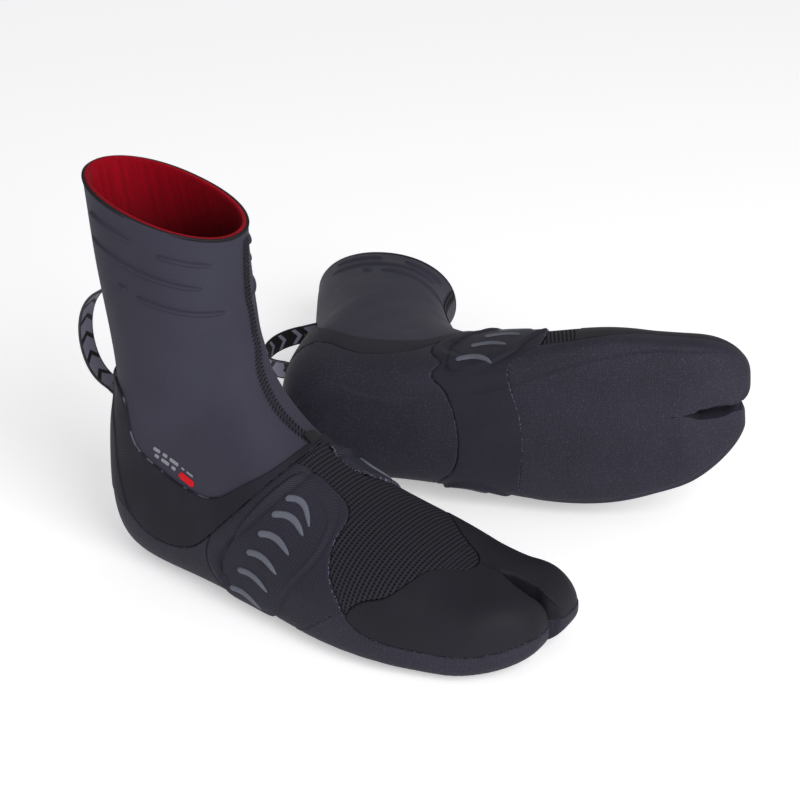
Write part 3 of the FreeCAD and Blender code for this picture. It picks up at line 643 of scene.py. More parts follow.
# ---- meshes ---------------------------------------------------------------------------------
class Boot:
    """Where one boot of the pair stands, and how its pieces ride."""

    def __init__(self, side, materials):
        self.side = side
        self.materials = materials
        turn = Matrix.Identity(3)
        for degrees, axis in zip(LEFT_TURN, "ZXY"):
            turn = turn @ Matrix.Rotation(math.radians(degrees), 3, axis)
        mirrored = turn @ Matrix.Diagonal((-1.0, 1.0, 1.0))
        right = side == "right"
        self.turn = np.eye(3) if right else np.array(mirrored)
        self.place = np.zeros(3) if right else np.array(LEFT_PLACE)
        self.flip = not right

    def to_frame(self, points):
        return (np.asarray(points, float) @ self.turn.T + self.place) * MM

    def add(self, name, places, tris, material, uv=None, edge=None):
        """Mesh object of one piece, from places in millimetres."""
        places = np.array(places, float)
        places[:, 2] = np.maximum(places[:, 2], 0.0)
        tris = np.asarray(tris)
        if self.flip:
            tris = tris[:, ::-1]
        # Vertices at the same place become one; texture coordinates stay with their corners.
        _, first, same = np.unique(weld_keys(places, 0.002), return_index=True, return_inverse=True)
        corners = tris
        tris = same.reshape(-1)[tris]
        sound = (tris[:, 0] != tris[:, 1]) & (tris[:, 1] != tris[:, 2]) & (tris[:, 2] != tris[:, 0])
        tris, corners, places = tris[sound], corners[sound], places[first]
        mesh = bpy.data.meshes.new(f"{self.side}_{name}")
        mesh.vertices.add(len(places))
        mesh.vertices.foreach_set("co", self.to_frame(places).astype(np.float32).ravel())
        mesh.loops.add(tris.size)
        mesh.loops.foreach_set("vertex_index", tris.astype(np.int32).ravel())
        mesh.polygons.add(len(tris))
        mesh.polygons.foreach_set("loop_start", np.arange(0, tris.size, 3, dtype=np.int32))
        mesh.update(calc_edges=True)
        mesh.polygons.foreach_set("use_smooth", np.ones(len(tris), bool))
        if uv is not None:
            layer = mesh.uv_layers.new(name="millimetres")
            layer.data.foreach_set("uv", np.asarray(uv, np.float32)[corners.ravel()].ravel())
        if edge is not None:
            attribute = mesh.attributes.new("edge", "FLOAT", "POINT")
            attribute.data.foreach_set("value", np.asarray(edge, np.float32)[first])
        mesh.validate()
        made = bpy.data.objects.new(f"{self.side}_{name}", mesh)
        bpy.context.scene.collection.objects.link(made)
        made.data.materials.append(self.materials[material])
        return made

    def add_sheet(self, name, sheet, offset, material, uv=None):
        if uv is None:
            uv = sheet.places(("u", "v"))
        # Without edge values a piece shows no lit edge, and the red lining is taken as 50 mm deep and so gets
        # its painted shade.
        edge = sheet["edge"] if "edge" in sheet.values else np.full(len(sheet["x"]), 50.0)
        return self.add(name, raised(sheet, offset), sheet.tris, material, uv, edge)

    def body(self, name):
        return f"{self.side}_{name}"

    def settle(self, piece, body, slot, *nodes):
        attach(piece, self.body(body))
        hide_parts(*[self.body(n) for n in nodes])

    def settle_between(self, piece, a, b, start, end, slot, *nodes):
        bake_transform(piece)
        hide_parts(*[self.body(n) for n in nodes])

    def settle_ankle(self, piece, slot, *nodes):
        low, high = [(0, ANKLE_Y, z) for z in ANKLE_BENDS]
        self.settle_between(piece, "foot", "leg", low, high, slot, *nodes)

    def settle_toe(self, piece, toe, slot, *nodes):
        rear, front = [(0, y, TOE_BEND_Z) for y in TOE_BENDS]
        self.settle_between(piece, "foot", toe, rear, front, slot, *nodes)


def tube_mesh(paths, ups, width, height, sides=8):
    """Threads along many paths of equal length; ups point away from the boot."""
    count, steps = paths.shape[:2]
    along = np.gradient(paths, axis=1)
    along /= np.linalg.norm(along, axis=-1, keepdims=True) + 1e-9
    aside = np.cross(along, ups)
    aside /= np.linalg.norm(aside, axis=-1, keepdims=True) + 1e-9
    over = np.cross(aside, along)
    taper = np.sqrt(np.clip(1.0 - np.linspace(-1.0, 1.0, steps) ** 4, 0.02, 1.0))[None, :, None, None]
    turn = np.linspace(0.0, FULL_TURN, sides + 1)[:-1][None, None, :, None]
    rings = (paths[:, :, None] + aside[:, :, None] * np.cos(turn) * width / 2.0 * taper
             + over[:, :, None] * np.sin(turn) * height / 2.0 * taper)
    index = np.arange(count * steps * sides).reshape(count, steps, sides)
    wrapped = np.concatenate([index, index[:, :, :1]], 2)
    outward = (rings - paths[:, :, None]).reshape(-1, 3)
    tris = [facing_out(rings.reshape(-1, 3), grid_tris(wrapped), outward)]
    for end, order in ((0, (0, 1, 2)), (-1, (0, 2, 1))):
        cap = index[:, end]
        for k in range(1, sides - 1):
            corners = np.stack([cap[:, 0], cap[:, k], cap[:, k + 1]], 1)
            tris.append(corners[:, order])
    return rings.reshape(-1, 3), np.concatenate(tris)


def merged(meshes):
    places, tris, start = [], [], 0
    for p, t in meshes:
        places.append(p)
        tris.append(t + start)
        start += len(p)
    return np.concatenate(places), np.concatenate(tris)


def facing_out(places, tris, outward):
    """Turns the triangles round if they face inwards; outward is one direction or one per place."""
    corners = places[tris]
    face = np.cross(corners[:, 1] - corners[:, 0], corners[:, 2] - corners[:, 0])
    outward = np.broadcast_to(outward, places.shape)
    return tris if (face * outward[tris[:, 0]]).sum() > 0 else tris[:, ::-1]


# ---- materials ------------------------------------------------------------------------------
class Shader:
    """A material's node tree; every helper returns the socket that carries its result."""

    def __init__(self, name):
        self.material = bpy.data.materials.new(name)
        self.material.use_nodes = True
        self.tree = self.material.node_tree
        self.tree.nodes.clear()
        uv = self.tree.nodes.new("ShaderNodeUVMap")
        uv.uv_map = "millimetres"
        self.flat = uv.outputs[0]
        parts = self.node("ShaderNodeSeparateXYZ", Vector=self.flat)
        self.u, self.v = parts.outputs[0], parts.outputs[1]
        place = self.tree.nodes.new("ShaderNodeTexCoord").outputs["Object"]
        self.place = self.vector("SCALE", place, scale=1.0 / MM)
        self.edge = self.node("ShaderNodeAttribute").outputs["Fac"]
        self.edge.node.attribute_name = "edge"

    def node(self, kind, **inputs):
        made = self.tree.nodes.new(kind)
        for name, value in inputs.items():
            self.feed(made.inputs[name.replace("_", " ")], value)
        return made

    def feed(self, socket, value):
        if isinstance(value, bpy.types.NodeSocket):
            self.tree.links.new(value, socket)
        else:
            socket.default_value = value

    def vector(self, operation, a, b=None, scale=None):
        made = self.tree.nodes.new("ShaderNodeVectorMath")
        made.operation = operation
        self.feed(made.inputs[0], a)
        if b is not None:
            self.feed(made.inputs[1], b)
        if scale is not None:
            self.feed(made.inputs["Scale"], scale)
        return made.outputs[0]

    def math(self, operation, a, b=0.0, c=0.0):
        made = self.tree.nodes.new("ShaderNodeMath")
        made.operation = operation
        for socket, value in zip(made.inputs, (a, b, c)):
            self.feed(socket, value)
        return made.outputs[0]

    def total(self, base, *parts):
        """A value plus each part times its weight."""
        for value, weight in parts:
            base = self.math("MULTIPLY_ADD", value, weight, base)
        return base

    def product(self, a, b):
        return self.math("MULTIPLY", a, b)

    def step(self, value, low, high):
        """0 below low, 1 above high, smooth between; low may be above high."""
        made = self.tree.nodes.new("ShaderNodeMapRange")
        made.interpolation_type = "SMOOTHSTEP"
        flipped = low > high
        first, last = (high, low) if flipped else (low, high)
        self.feed(made.inputs["Value"], value)
        made.inputs["From Min"].default_value = first
        made.inputs["From Max"].default_value = last
        made.inputs["To Min"].default_value = 1.0 if flipped else 0.0
        made.inputs["To Max"].default_value = 0.0 if flipped else 1.0
        return made.outputs[0]

    def wave(self, value, period, phase=0.0):
        turned = self.math("MULTIPLY_ADD", value, FULL_TURN / period, phase)
        return self.math("MULTIPLY_ADD", self.math("SINE", turned), 0.5, 0.5)

    def noise(self, size, detail=2.0, where=None):
        """Cloudy values around 0.5 with features of a size in millimetres."""
        made = self.tree.nodes.new("ShaderNodeTexNoise")
        self.feed(made.inputs["Vector"], where or self.place)
        made.inputs["Scale"].default_value = 1.0 / size
        made.inputs["Detail"].default_value = detail
        made.inputs["Roughness"].default_value = 0.5
        return made.outputs[0]

    def colour(self, share, a, b):
        made = self.tree.nodes.new("ShaderNodeMix")
        made.data_type = "RGBA"
        self.feed(made.inputs["Factor"], share)
        for socket, value in zip((made.inputs[6], made.inputs[7]), (a, b)):
            self.feed(socket, value if isinstance(value, bpy.types.NodeSocket) else (*value, 1.0))
        return made.outputs[2]

    def shade(self, colour, factor):
        """The colour made lighter or darker by a factor around 1."""
        return self.vector("SCALE", colour, scale=factor)

    def finish(self, colour, height, depth, roughness=0.6, specular=0.25, sheen=0.0, sheen_tint=(1, 1, 1)):
        """Surface from a colour and a height of 0 to 1 that stands for depth millimetres."""
        bump = self.node("ShaderNodeBump", Height=height, Distance=depth * MM, Strength=1.0)
        surface = self.node("ShaderNodeBsdfPrincipled", Roughness=roughness, Normal=bump.outputs[0])
        self.feed(surface.inputs["Base Color"], colour)
        surface.inputs["Specular IOR Level"].default_value = specular
        surface.inputs["Sheen Weight"].default_value = sheen
        surface.inputs["Sheen Roughness"].default_value = 0.45
        surface.inputs["Sheen Tint"].default_value = (*sheen_tint, 1.0)
        output = self.tree.nodes.new("ShaderNodeOutputMaterial")
        self.tree.links.new(surface.outputs[0], output.inputs[0])
        return self.material

    def lit_edge(self, colour, light, width, patch, low, high):
        """A cut edge that catches the light in patches along a seam."""
        line = self.step(self.edge, width, width * 0.35)
        patches = self.step(self.noise(patch), low, high)
        return self.colour(self.product(line, patches), colour, light)

    def twill(self, period):
        """Fine diagonal cords broken into short floats."""
        cords = self.wave(self.math("ADD", self.u, self.v), period)
        floats = self.wave(self.math("SUBTRACT", self.u, self.v), period * 0.9, 1.2)
        return self.product(cords, self.total(0.45, (floats, 0.55)))


def leg_neoprene():
    s = Shader("leg_neoprene")
    jersey = s.product(s.wave(s.u, 0.62), s.wave(s.v, 0.8))
    cloud = s.noise(38.0, 3.0)
    fine = s.noise(0.9)
    colour = s.shade((0.0365, 0.0352, 0.0520), s.total(0.70, (cloud, 0.34), (jersey, 0.16), (fine, 0.24)))
    rough = s.total(0.56, (s.noise(14.0), 0.14))
    return s.finish(colour, s.total(jersey, (fine, 0.5)), 0.035, rough, 0.12)


def coated_neoprene():
    s = Shader("coated_neoprene")
    grain = s.noise(0.6)
    worn = s.step(s.noise(34.0), 0.40, 0.62)
    weave = s.product(s.twill(1.3), worn)
    tone = s.total(0.60, (weave, 0.70), (s.noise(30.0), 0.30), (grain, 0.40))
    colour = s.lit_edge(s.shade((0.0160, 0.0152, 0.0218), tone), (0.11, 0.11, 0.14), 0.30, 6.0, 0.50, 0.60)
    return s.finish(colour, s.total(weave, (grain, 0.7)), 0.08, 0.60, 0.10)


def band_rubber():
    s = Shader("band_rubber")
    twill = s.twill(1.3)
    tone = s.total(0.30, (twill, 1.7), (s.noise(22.0, 3.0), 0.45), (s.noise(0.8, 1.0), 0.30))
    colour = s.lit_edge(s.shade((0.0195, 0.0188, 0.0275), tone), (0.13, 0.13, 0.19), 0.45, 1.4, 0.5, 0.60)
    return s.finish(colour, twill, 0.16, 0.62, 0.10)


def sole_rubber():
    s = Shader("sole_rubber")
    cloth = s.product(s.wave(s.u, 1.15), s.wave(s.v, 1.15))
    speck = s.step(s.noise(1.0), 0.52, 0.70)
    tone = s.total(0.62, (cloth, 0.40), (speck, 0.50), (s.noise(28.0, 3.0), 0.44))
    colour = s.lit_edge(s.shade((0.0290, 0.0278, 0.0400), tone), (0.10, 0.10, 0.14), 0.35, 1.2, 0.52, 0.62)
    return s.finish(colour, s.math("ADD", cloth, s.noise(0.8, 1.0)), 0.08, 0.62, 0.10)


def toe_rubber():
    s = Shader("toe_rubber")
    grain = s.noise(0.8)
    cloth = s.product(s.wave(s.u, 1.1), s.wave(s.v, 1.1))
    tone = s.total(0.66, (s.noise(30.0, 3.0), 0.40), (cloth, 0.18), (grain, 0.24))
    return s.finish(s.shade((0.0140, 0.0135, 0.0185), tone), s.total(grain, (cloth, 0.4)), 0.04, 0.62, 0.14)


def knit_mesh():
    """Net of threads with dark holes, which are partly the dark foam behind and partly painted shade; the
    mesh has the same holes.
    """
    s = Shader("knit_mesh")
    rows = s.wave(s.v, KNIT_ROW)
    columns = s.wave(s.u, KNIT_COLUMN)
    hole = s.product(s.math("SUBTRACT", 1.0, rows), s.math("SUBTRACT", 1.0, columns))
    cell = s.math("SUBTRACT", 1.0, hole)
    fibre = s.noise(0.3)
    share = s.product(s.step(cell, 0.30, 0.92), s.total(0.5, (rows, 0.5)))
    # Painted shade: the holes are near black, where the foam behind the knit lies in shade.
    colour = s.colour(share, (0.0008, 0.0008, 0.0012), (0.0225, 0.0212, 0.0310))
    colour = s.shade(colour, s.total(0.7, (fibre, 0.6)))
    return s.finish(colour, s.total(cell, (fibre, 0.3)), 0.16, 0.75, 0.20)


def neoprene():
    s = Shader("neoprene")
    cells = s.noise(0.35)
    return s.finish(s.shade((0.008, 0.008, 0.010), s.total(0.6, (cells, 0.8))), cells, 0.06, 0.70, 0.20)


def red_jersey():
    """Ribbed lining; its edge value is the depth below the cuff, where painted shade makes it darker inside
    the boot.
    """
    s = Shader("red_jersey")
    ribs = s.wave(s.u, LINING_RIB)
    streak = s.noise(3.0, 3.0, s.vector("MULTIPLY", s.flat, (1.0, 0.06, 1.0)))
    tone = s.total(0.72, (ribs, 0.22), (s.math("SUBTRACT", streak, 0.5), 0.7))
    # Painted shade: the lining darkens with its depth below the cuff, down inside the boot.
    tone = s.product(tone, s.total(0.18, (s.step(s.edge, 62.0, 3.0), 0.82)))
    height = s.total(ribs, (s.wave(s.v, 0.9), 0.3))
    return s.finish(s.shade((0.34, 0.0010, 0.010), tone), height, 0.12, 0.80, 0.10, 0.08, (1.0, 0.2, 0.25))


def insole_foam():
    s = Shader("insole_foam")
    cells = s.noise(0.8, 3.0)
    return s.finish(s.shade((0.020, 0.019, 0.022), s.total(0.6, (cells, 0.8))), cells, 0.12, 0.8, 0.2)


def grey_rubber():
    s = Shader("grey_rubber")
    grain = s.noise(0.5)
    tone = s.total(0.5, (grain, 0.8), (s.noise(9.0), 0.3))
    return s.finish(s.shade((0.105, 0.112, 0.138), tone), grain, 0.10, 0.60, 0.15)


def tape():
    s = Shader("tape")
    weave = s.product(s.wave(s.u, 0.8), s.wave(s.v, 0.5))
    return s.finish(s.shade((0.012, 0.0118, 0.0152), s.total(0.7, (weave, 0.7))), weave, 0.06, 0.62, 0.25)


def thread():
    s = Shader("thread")
    twist = s.wave(s.total(s.u, (s.v, 1.7)), 0.6)
    colour = s.shade((0.0065, 0.0062, 0.0082), s.total(0.6, (s.noise(0.4), 0.8)))
    return s.finish(colour, s.math("ADD", twist, s.noise(0.25)), 0.05, 0.55, 0.35)


def webbing():
    """Woven strap: black with grey chevrons on its outer face, the reverse on its inner face."""
    s = Shader("webbing")
    half_width = LOOP_WIDTH / 2.0
    inner_face = s.step(s.u, INNER_FACE - 3.9, INNER_FACE - 4.1)
    outer_face = s.math("SUBTRACT", 1.0, inner_face)
    width_place = s.math("SUBTRACT", s.u, s.product(outer_face, INNER_FACE))
    across = s.math("ABSOLUTE", s.math("SUBTRACT", width_place, half_width))
    peak = s.total(s.v, (across, -0.9))
    chevron = s.step(s.wave(peak, LOOP_REPEAT), 0.80, 0.86)
    border = s.step(across, 4.7, 5.0)
    mark = s.product(chevron, s.math("SUBTRACT", 1.0, border))
    # The weave's two faces are each other's negative, but for the border.
    dark = s.math("ABSOLUTE", s.math("SUBTRACT", outer_face, mark))
    dark = s.math("MAXIMUM", dark, s.product(border, 0.85))
    colour = s.colour(dark, (0.260, 0.252, 0.330), (0.0080, 0.0078, 0.0098))
    height = s.total(s.wave(s.v, 0.55), (s.wave(s.u, 0.7), 0.6))
    return s.finish(s.shade(colour, s.total(0.75, (height, 0.25))), height, 0.08, 0.6, 0.3)


def printed(name, colour, roughness=0.42, specular=0.4):
    s = Shader(name)
    film = s.noise(0.5)
    return s.finish(s.shade(colour, s.total(0.72, (film, 0.5))), film, 0.02, roughness, specular)


# ---- small shapes on the skins --------------------------------------------------------------
KNIT_ROW, KNIT_COLUMN = 2.4, 2.0
KNIT_TURN = math.radians(-4.0)
LINING_RIB = 1.5
COUNTER_STEP = 0.7                  # how far the heel counter stands out of the heel cup
TAPE_HALF, TAPE_LOW, TAPE_HIGH = 5.0, 24.0, 110.5
LOOP_WIDTH, LOOP_THICK, LOOP_REPEAT = 12.0, 1.5, 12.0
INNER_FACE = 20.0                   # where the inner face begins in the webbing's texture places
LOOP_BENDS, LOOP_MIDDLE = (-50.5, -63.0), 118.0     # two places along y on the pull loop, and its z
RIB_FIRST, RIB_LAST, RIB_COUNT = (90.0, 73.0), (61.5, 16.0), 6
RIB_LENGTH, RIB_FALL, RIB_RISE, RIB_HALF = 21.5, 5.0, 3.2, 1.9
INNER_RIBS = (8.0, -3.0)            # how the inner side's ribs are shifted along y and z
BADGE_LIFT = 0.1
SEAL_HALF = 1.5                     # half the width of a dash
# Depth of each dash below the rim, and its first and last angle.
SEAL_DASHES = [(13.0, 38, 92), (14.5, 117, 157), (27.5, 35, 149), (41.0, 73, 82), (41.5, 92, 167)]


# ---- pieces of the foot ---------------------------------------------------------------------
def pod_height(sheet):
    """The raised pad under the grip ribs, with a bead along its border."""
    pod = sheet["pod"]
    bead = bump(pod, 1.0, 0.8)
    groove = bump(pod, -1.3, 0.8)
    return 1.1 * smooth(pod, -0.6, 0.5) + 0.45 * bead - 0.35 * groove


def plate_groove(sheet):
    """How far the sole drops outside its flat tread plate."""
    bottom = smooth(sheet["nz"], -0.55, -0.9)
    return bottom * (1.0 - smooth(sheet["plate"], -0.7, 0.7))


def add_heel_cup(boot, foot):
    piece = skin_piece(foot, "heel_cup", 0.7)
    step = COUNTER_STEP * smooth(piece["counter"], -0.4, 0.5) * smooth(piece["y"], 5.0, -5.0)
    height = lip(piece["edge"], HEEL_CUP, 0.7) + step
    made = boot.add_sheet("heel_cup", piece, height, "coated_neoprene")
    boot.settle_ankle(made, "coated_neoprene", "heel_cup")


def add_heel_sole(boot, foot):
    piece = skin_piece(foot, "heel_sole", 0.9)
    height = lip(piece["edge"], SOLE, 0.9) - plate_groove(piece)
    made = boot.add_sheet("heel_sole", piece, height, "sole_rubber")
    boot.settle(made, "foot", "sole_rubber", "heel_sole")


def add_arch_band(boot, foot):
    piece = skin_piece(foot, "arch_band", 1.0)
    for level in (-0.7, -0.2, 0.3, 0.9):
        piece = part_at(piece, "pod", level, drop=False)
    ridge = np.sin(math.pi * np.clip(piece["rear_edge"] / 9.5, 0.0, 1.0)) ** 0.8
    ridge = ridge * smooth(piece["z"], 6.0, 22.0)
    groove = bump(piece["rear_edge"], 10.5, 1.0) * smooth(piece["z"], 14.0, 26.0)
    height = lip(piece["edge"], BAND, 1.0, flush_depth(piece)) + pod_height(piece)
    height = height + 1.5 * ridge - 0.7 * groove - plate_groove(piece)
    made = boot.add_sheet("arch_band", piece, height, "band_rubber")
    boot.settle(made, "foot", "band_rubber", "arch_band")


def add_vamp(boot, foot):
    """Knitted vamp, with its cells raised in the mesh."""
    piece = refined(refined(part_at(foot, "vamp_mesh")))
    cos, sin = math.cos(KNIT_TURN), math.sin(KNIT_TURN)
    across = piece["w"] * cos + piece["v"] * sin
    along = piece["v"] * cos - piece["w"] * sin
    holes = (0.5 - 0.5 * np.sin(FULL_TURN * across / KNIT_COLUMN)) * (
        0.5 - 0.5 * np.sin(FULL_TURN * along / KNIT_ROW))
    inward = piece["vamp_mesh"]
    height = lip(inward, VAMP, 0.8) + 0.32 * (1.0 - holes) * smooth(inward, 0.3, 1.2)
    piece["edge"] = inward
    made = boot.add_sheet("vamp_mesh", piece, height, "knit_mesh", np.stack([across, along], -1))
    boot.settle(made, "foot", "knit_mesh", "vamp_mesh")


def add_forefoot(boot, foot):
    """Toe cap and forefoot sole, each parted along the slot's line into one half for each toe."""
    cap = skin_piece(foot, "toe_cap", 0.7)
    sole = skin_piece(foot, "forefoot_sole", 0.9)
    for toe, sign in (("toes", 1.0), ("big_toe", -1.0)):
        for name, whole, height, slot, radius in (("cap", cap, CAP, "toe_rubber", 0.7),
                                                  ("sole", sole, SOLE, "sole_rubber", 0.9)):
            half = whole.copy()
            half["half"] = sign * (half["x"] - SLOT_X)
            walls = half["toe_wall"] * sign
            half["half"] = np.where(np.abs(walls) > 0.5, walls, half["half"])
            half = part_at(half, "half")
            depth = flush_depth(half) if name == "sole" else -0.35
            offset = lip(half["edge"], height, radius, depth) * (1.0 - 0.85 * half["wall"])
            if name == "sole":
                offset = offset - plate_groove(half)
            made = boot.add_sheet(f"{toe}_{name}", half, offset, slot)
            if name == "cap":
                nodes = [f"{toe}_cap", f"{toe}_flex_zone"] + (["toe_cap"] if toe == "toes" else [])
            else:
                nodes = [f"{toe}_sole"] + (["forefoot_sole"] if toe == "toes" else [])
            boot.settle_toe(made, toe, slot, *nodes)


def add_foot_inside(boot, foot):
    """Foam behind the skins, red lining and the insole on its floor."""
    inside = part_at(foot, "below_top", -6.0)
    rear = inside.copy()
    rear["rear"] = 184.0 - rear["y"]
    rear = part_at(rear, "rear")
    foam = boot.add_sheet("foot_foam", rear, -0.5, "neoprene")
    boot.settle_ankle(foam, "neoprene", "foot_foam")
    # With no edge values this lining is taken as 50 mm deep, so the red jersey's painted shade makes it dark.
    lining = boot.add_sheet("foot_lining", rear, LINING_DEPTH, "red_jersey")
    lining.data.flip_normals()
    boot.settle_ankle(lining, "red_jersey", "foot_lining")
    floor = rear.copy()
    floor["low"] = 13.0 - floor["z"]
    floor = part_at(floor, "low")
    places = raised(floor, LINING_DEPTH - 0.5)
    places[:, 2] = np.maximum(places[:, 2], 7.6)
    insole = boot.add("insole", places, floor.tris[:, ::-1], "insole_foam", floor.places(("u", "v")))
    boot.settle(insole, "foot", "insole_foam", "insole")


def add_heel_tape(boot, foot):
    """Tape over the heel cup's back seam."""
    piece = foot.copy()
    piece["strip"] = np.minimum.reduce([TAPE_HALF - np.abs(piece["x"]), piece["z"] - TAPE_LOW,
                                        TAPE_HIGH - piece["z"], -piece["y"]])
    piece = part_at(piece, "strip")
    piece = part_at(piece, "strip", 0.25, drop=False)
    piece = part_at(piece, "strip", 0.6, drop=False)
    piece["edge"] = piece["strip"] + 0.5
    height = HEEL_CUP + COUNTER_STEP + lip(piece["strip"], 0.7, 0.6, -0.4)
    made = boot.add_sheet("heel_tape", piece, height, "tape")
    boot.settle_ankle(made, "tape", "heel_tape")


def crescent_ribs(side):
    """Six crescent grip ribs, blunt at the heel end and pointed at the toe end."""
    meshes = []
    t = (0.5 - 0.5 * np.cos(np.linspace(0.0, math.pi, 33)))[:, None]
    c = np.sin(np.linspace(-math.pi / 2.0, math.pi / 2.0, 15))[None, :]
    blunt = np.sqrt(1.0 - (1.0 - np.clip(t / 0.09, 0.0, 1.0)) ** 2)
    tapered = np.sqrt(1.0 - np.clip((t - 0.45) / 0.55, 0.0, 1.0) ** 2.4)
    bow = np.sin(math.pi * t)
    slope = (-RIB_FALL + RIB_RISE * math.pi * np.cos(math.pi * t)) / RIB_LENGTH
    norm = np.sqrt(1.0 + slope**2)
    shift_y, shift_z = (0.0, 0.0) if side > 0 else INNER_RIBS
    for k in range(RIB_COUNT):
        share = (k / (RIB_COUNT - 1.0)) ** 1.28
        topmost = (1.0 - share) ** 10
        start_y = RIB_FIRST[0] + (RIB_LAST[0] - RIB_FIRST[0]) * share + shift_y
        start_z = RIB_FIRST[1] + (RIB_LAST[1] - RIB_FIRST[1]) * share + shift_z
        y = start_y + (RIB_LENGTH - 3.5 * topmost) * t
        z = start_z - (RIB_FALL + 5.0 * topmost) * t + RIB_RISE * bow
        # Where the surface slopes away, the width is drawn in so that it stays the same on it.
        normal = boot_normal(*surface_at(y, z, side))
        lean = (normal[..., 2:] - normal[..., 1:2] * slope[..., None])[..., 0] / norm / normal[..., 0]
        half = RIB_HALF * (0.03 + 0.97 * blunt * tapered) / np.sqrt(1.0 + lean**2)
        y = y - c * half * slope / norm
        z = z + c * half / norm
        s, a = surface_at(y, z, side)
        crown = np.maximum(1.0 - c**4, 0.0) ** 0.7 * (0.2 + 0.8 * (blunt * tapered) ** 0.6)
        offset = BAND + 0.8 + 1.25 * crown
        rows = over_surface(s, a, offset)
        uv = np.stack(np.broadcast_arrays(RIB_LENGTH * t, c * 2.0), -1).reshape(-1, 2)
        meshes.append((*strip_mesh(rows), uv))
    return meshes


def add_ribs(boot, side, name):
    meshes = crescent_ribs(side)
    places, tris = merged([(p, t) for p, t, _ in meshes])
    tris = facing_out(places, tris, (side, 0.0, 0.0))
    made = boot.add(name, places, tris, "grey_rubber", np.concatenate([uv for _, _, uv in meshes]))
    boot.settle(made, "foot", "grey_rubber", name)


def bar_on_side(y, z, length, half, slope, offset, rise=0.12, ends=0.5):
    """Flat printed bar with round ends on the outer side, along the direction (1, slope)."""
    t = np.linspace(0.0, 1.0, 24)[:, None]
    c = np.linspace(-1.0, 1.0, 9)[None, :]
    radius = half * ends
    past = np.clip(np.abs(2.0 * t - 1.0) * length / 2.0 - (length / 2.0 - radius), 0.0, None)
    round_end = np.sqrt(np.clip(1.0 - past**2 / radius**2, 0.0, 1.0))
    reach = math.hypot(1.0, slope)
    yy = y + (length * t - c * half * round_end * slope) / reach
    zz = z + (length * t * slope + c * half * round_end) / reach
    s, a = surface_at(yy, zz, 1)
    height = offset + rise * np.minimum(1.0, 4.0 * (1.0 - np.abs(c))) * np.ones_like(t)
    return strip_mesh(over_surface(s, a, height))


def add_badge(boot):
    """Generic printed patch: rows of plain bars and one red pill, with no lettering."""
    slope = -0.37
    bars = []
    for row, (y, z, lengths) in enumerate([(6.0, 81.2, (4.6, 3.2, 6.4)), (6.6, 77.2, (3.0, 5.6, 3.0)),
                                           (24.5, 74.4, (2.2, 4.8))]):
        at = y
        half = 1.1 if row < 2 else 0.6
        for length in lengths:
            bars.append(bar_on_side(at, z + slope * (at - y), length, half, slope, BADGE_LIFT))
            at += length + 1.3
    places, tris = merged(bars)
    tris = facing_out(places, tris, (1.0, 0.0, 0.0))
    made = boot.add("side_badge", places, tris, "print", places[:, 1:3])
    boot.settle(made, "foot", "print", "side_badge")
    places, tris = bar_on_side(23.0, 70.4, 11.0, 2.0, slope, BADGE_LIFT, 0.3, 1.0)
    tris = facing_out(places, tris, (1.0, 0.0, 0.0))
    pill = boot.add("side_badge_pill", places, tris, "red_print", places[:, 1:3])
    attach(pill, boot.body("foot"))


# ---- pieces of the leg ----------------------------------------------------------------------
def add_leg_panels(boot, leg):
    """The two neoprene panels, which slip under the heel cup's edge and meet at two seams."""
    for name, sign, nodes in (("leg_panel_outer", 1.0, ("leg_panel_outer", "ankle_panel")),
                              ("leg_panel_inner", -1.0, ("leg_panel_inner",))):
        piece = leg.copy()
        piece["side"] = sign * piece["seam_side"]
        piece = part_at(piece, "side")
        for level in (0.25, 0.8, 1.8, 3.0):
            piece = part_at(piece, "side", level, drop=False)
        dip = 0.45 * (1.0 - smooth(piece["side"], 0.0, 3.0))
        swell = 0.30 * np.sin(piece["z"] / 17.0 + piece["x"] / 23.0)
        swell = swell * np.sin(piece["z"] / 29.0 + piece["y"] / 19.0)
        under = 0.5 * smooth(piece["above_cup"], 0.3, -1.2)
        piece["edge"] = np.full(len(piece["x"]), 50.0)
        height = swell * smooth(piece["above_cup"], 14.0, 30.0) - dip - under
        made = boot.add_sheet(name, piece, height, "leg_neoprene")
        boot.settle_ankle(made, "leg_neoprene", *nodes)


def add_leg_lining(boot, leg):
    piece = leg.copy()
    # Depth below the cuff's back, which the red jersey turns into painted shade deeper inside.
    piece["edge"] = STATIONS[-1, 3] - piece["z"]
    ribs = 0.07 * np.sin(FULL_TURN * piece["u"] / LINING_RIB)
    made = boot.add_sheet("leg_lining", piece, LINING_DEPTH + ribs, "red_jersey")
    made.data.flip_normals()
    boot.settle_ankle(made, "red_jersey", "leg_lining")


def cuff_ring(profile, degrees):
    """Rows of places round the cuff: profile gives offset from the foam and height over the rim."""
    rim = boot_point(CUFF, degrees)
    normal = boot_normal(CUFF, degrees)
    up = rim - boot_point(CUFF - 0.05, degrees)
    up /= np.linalg.norm(up, axis=-1, keepdims=True)
    return np.stack([rim + normal * off + up * rise for off, rise in profile], 0)


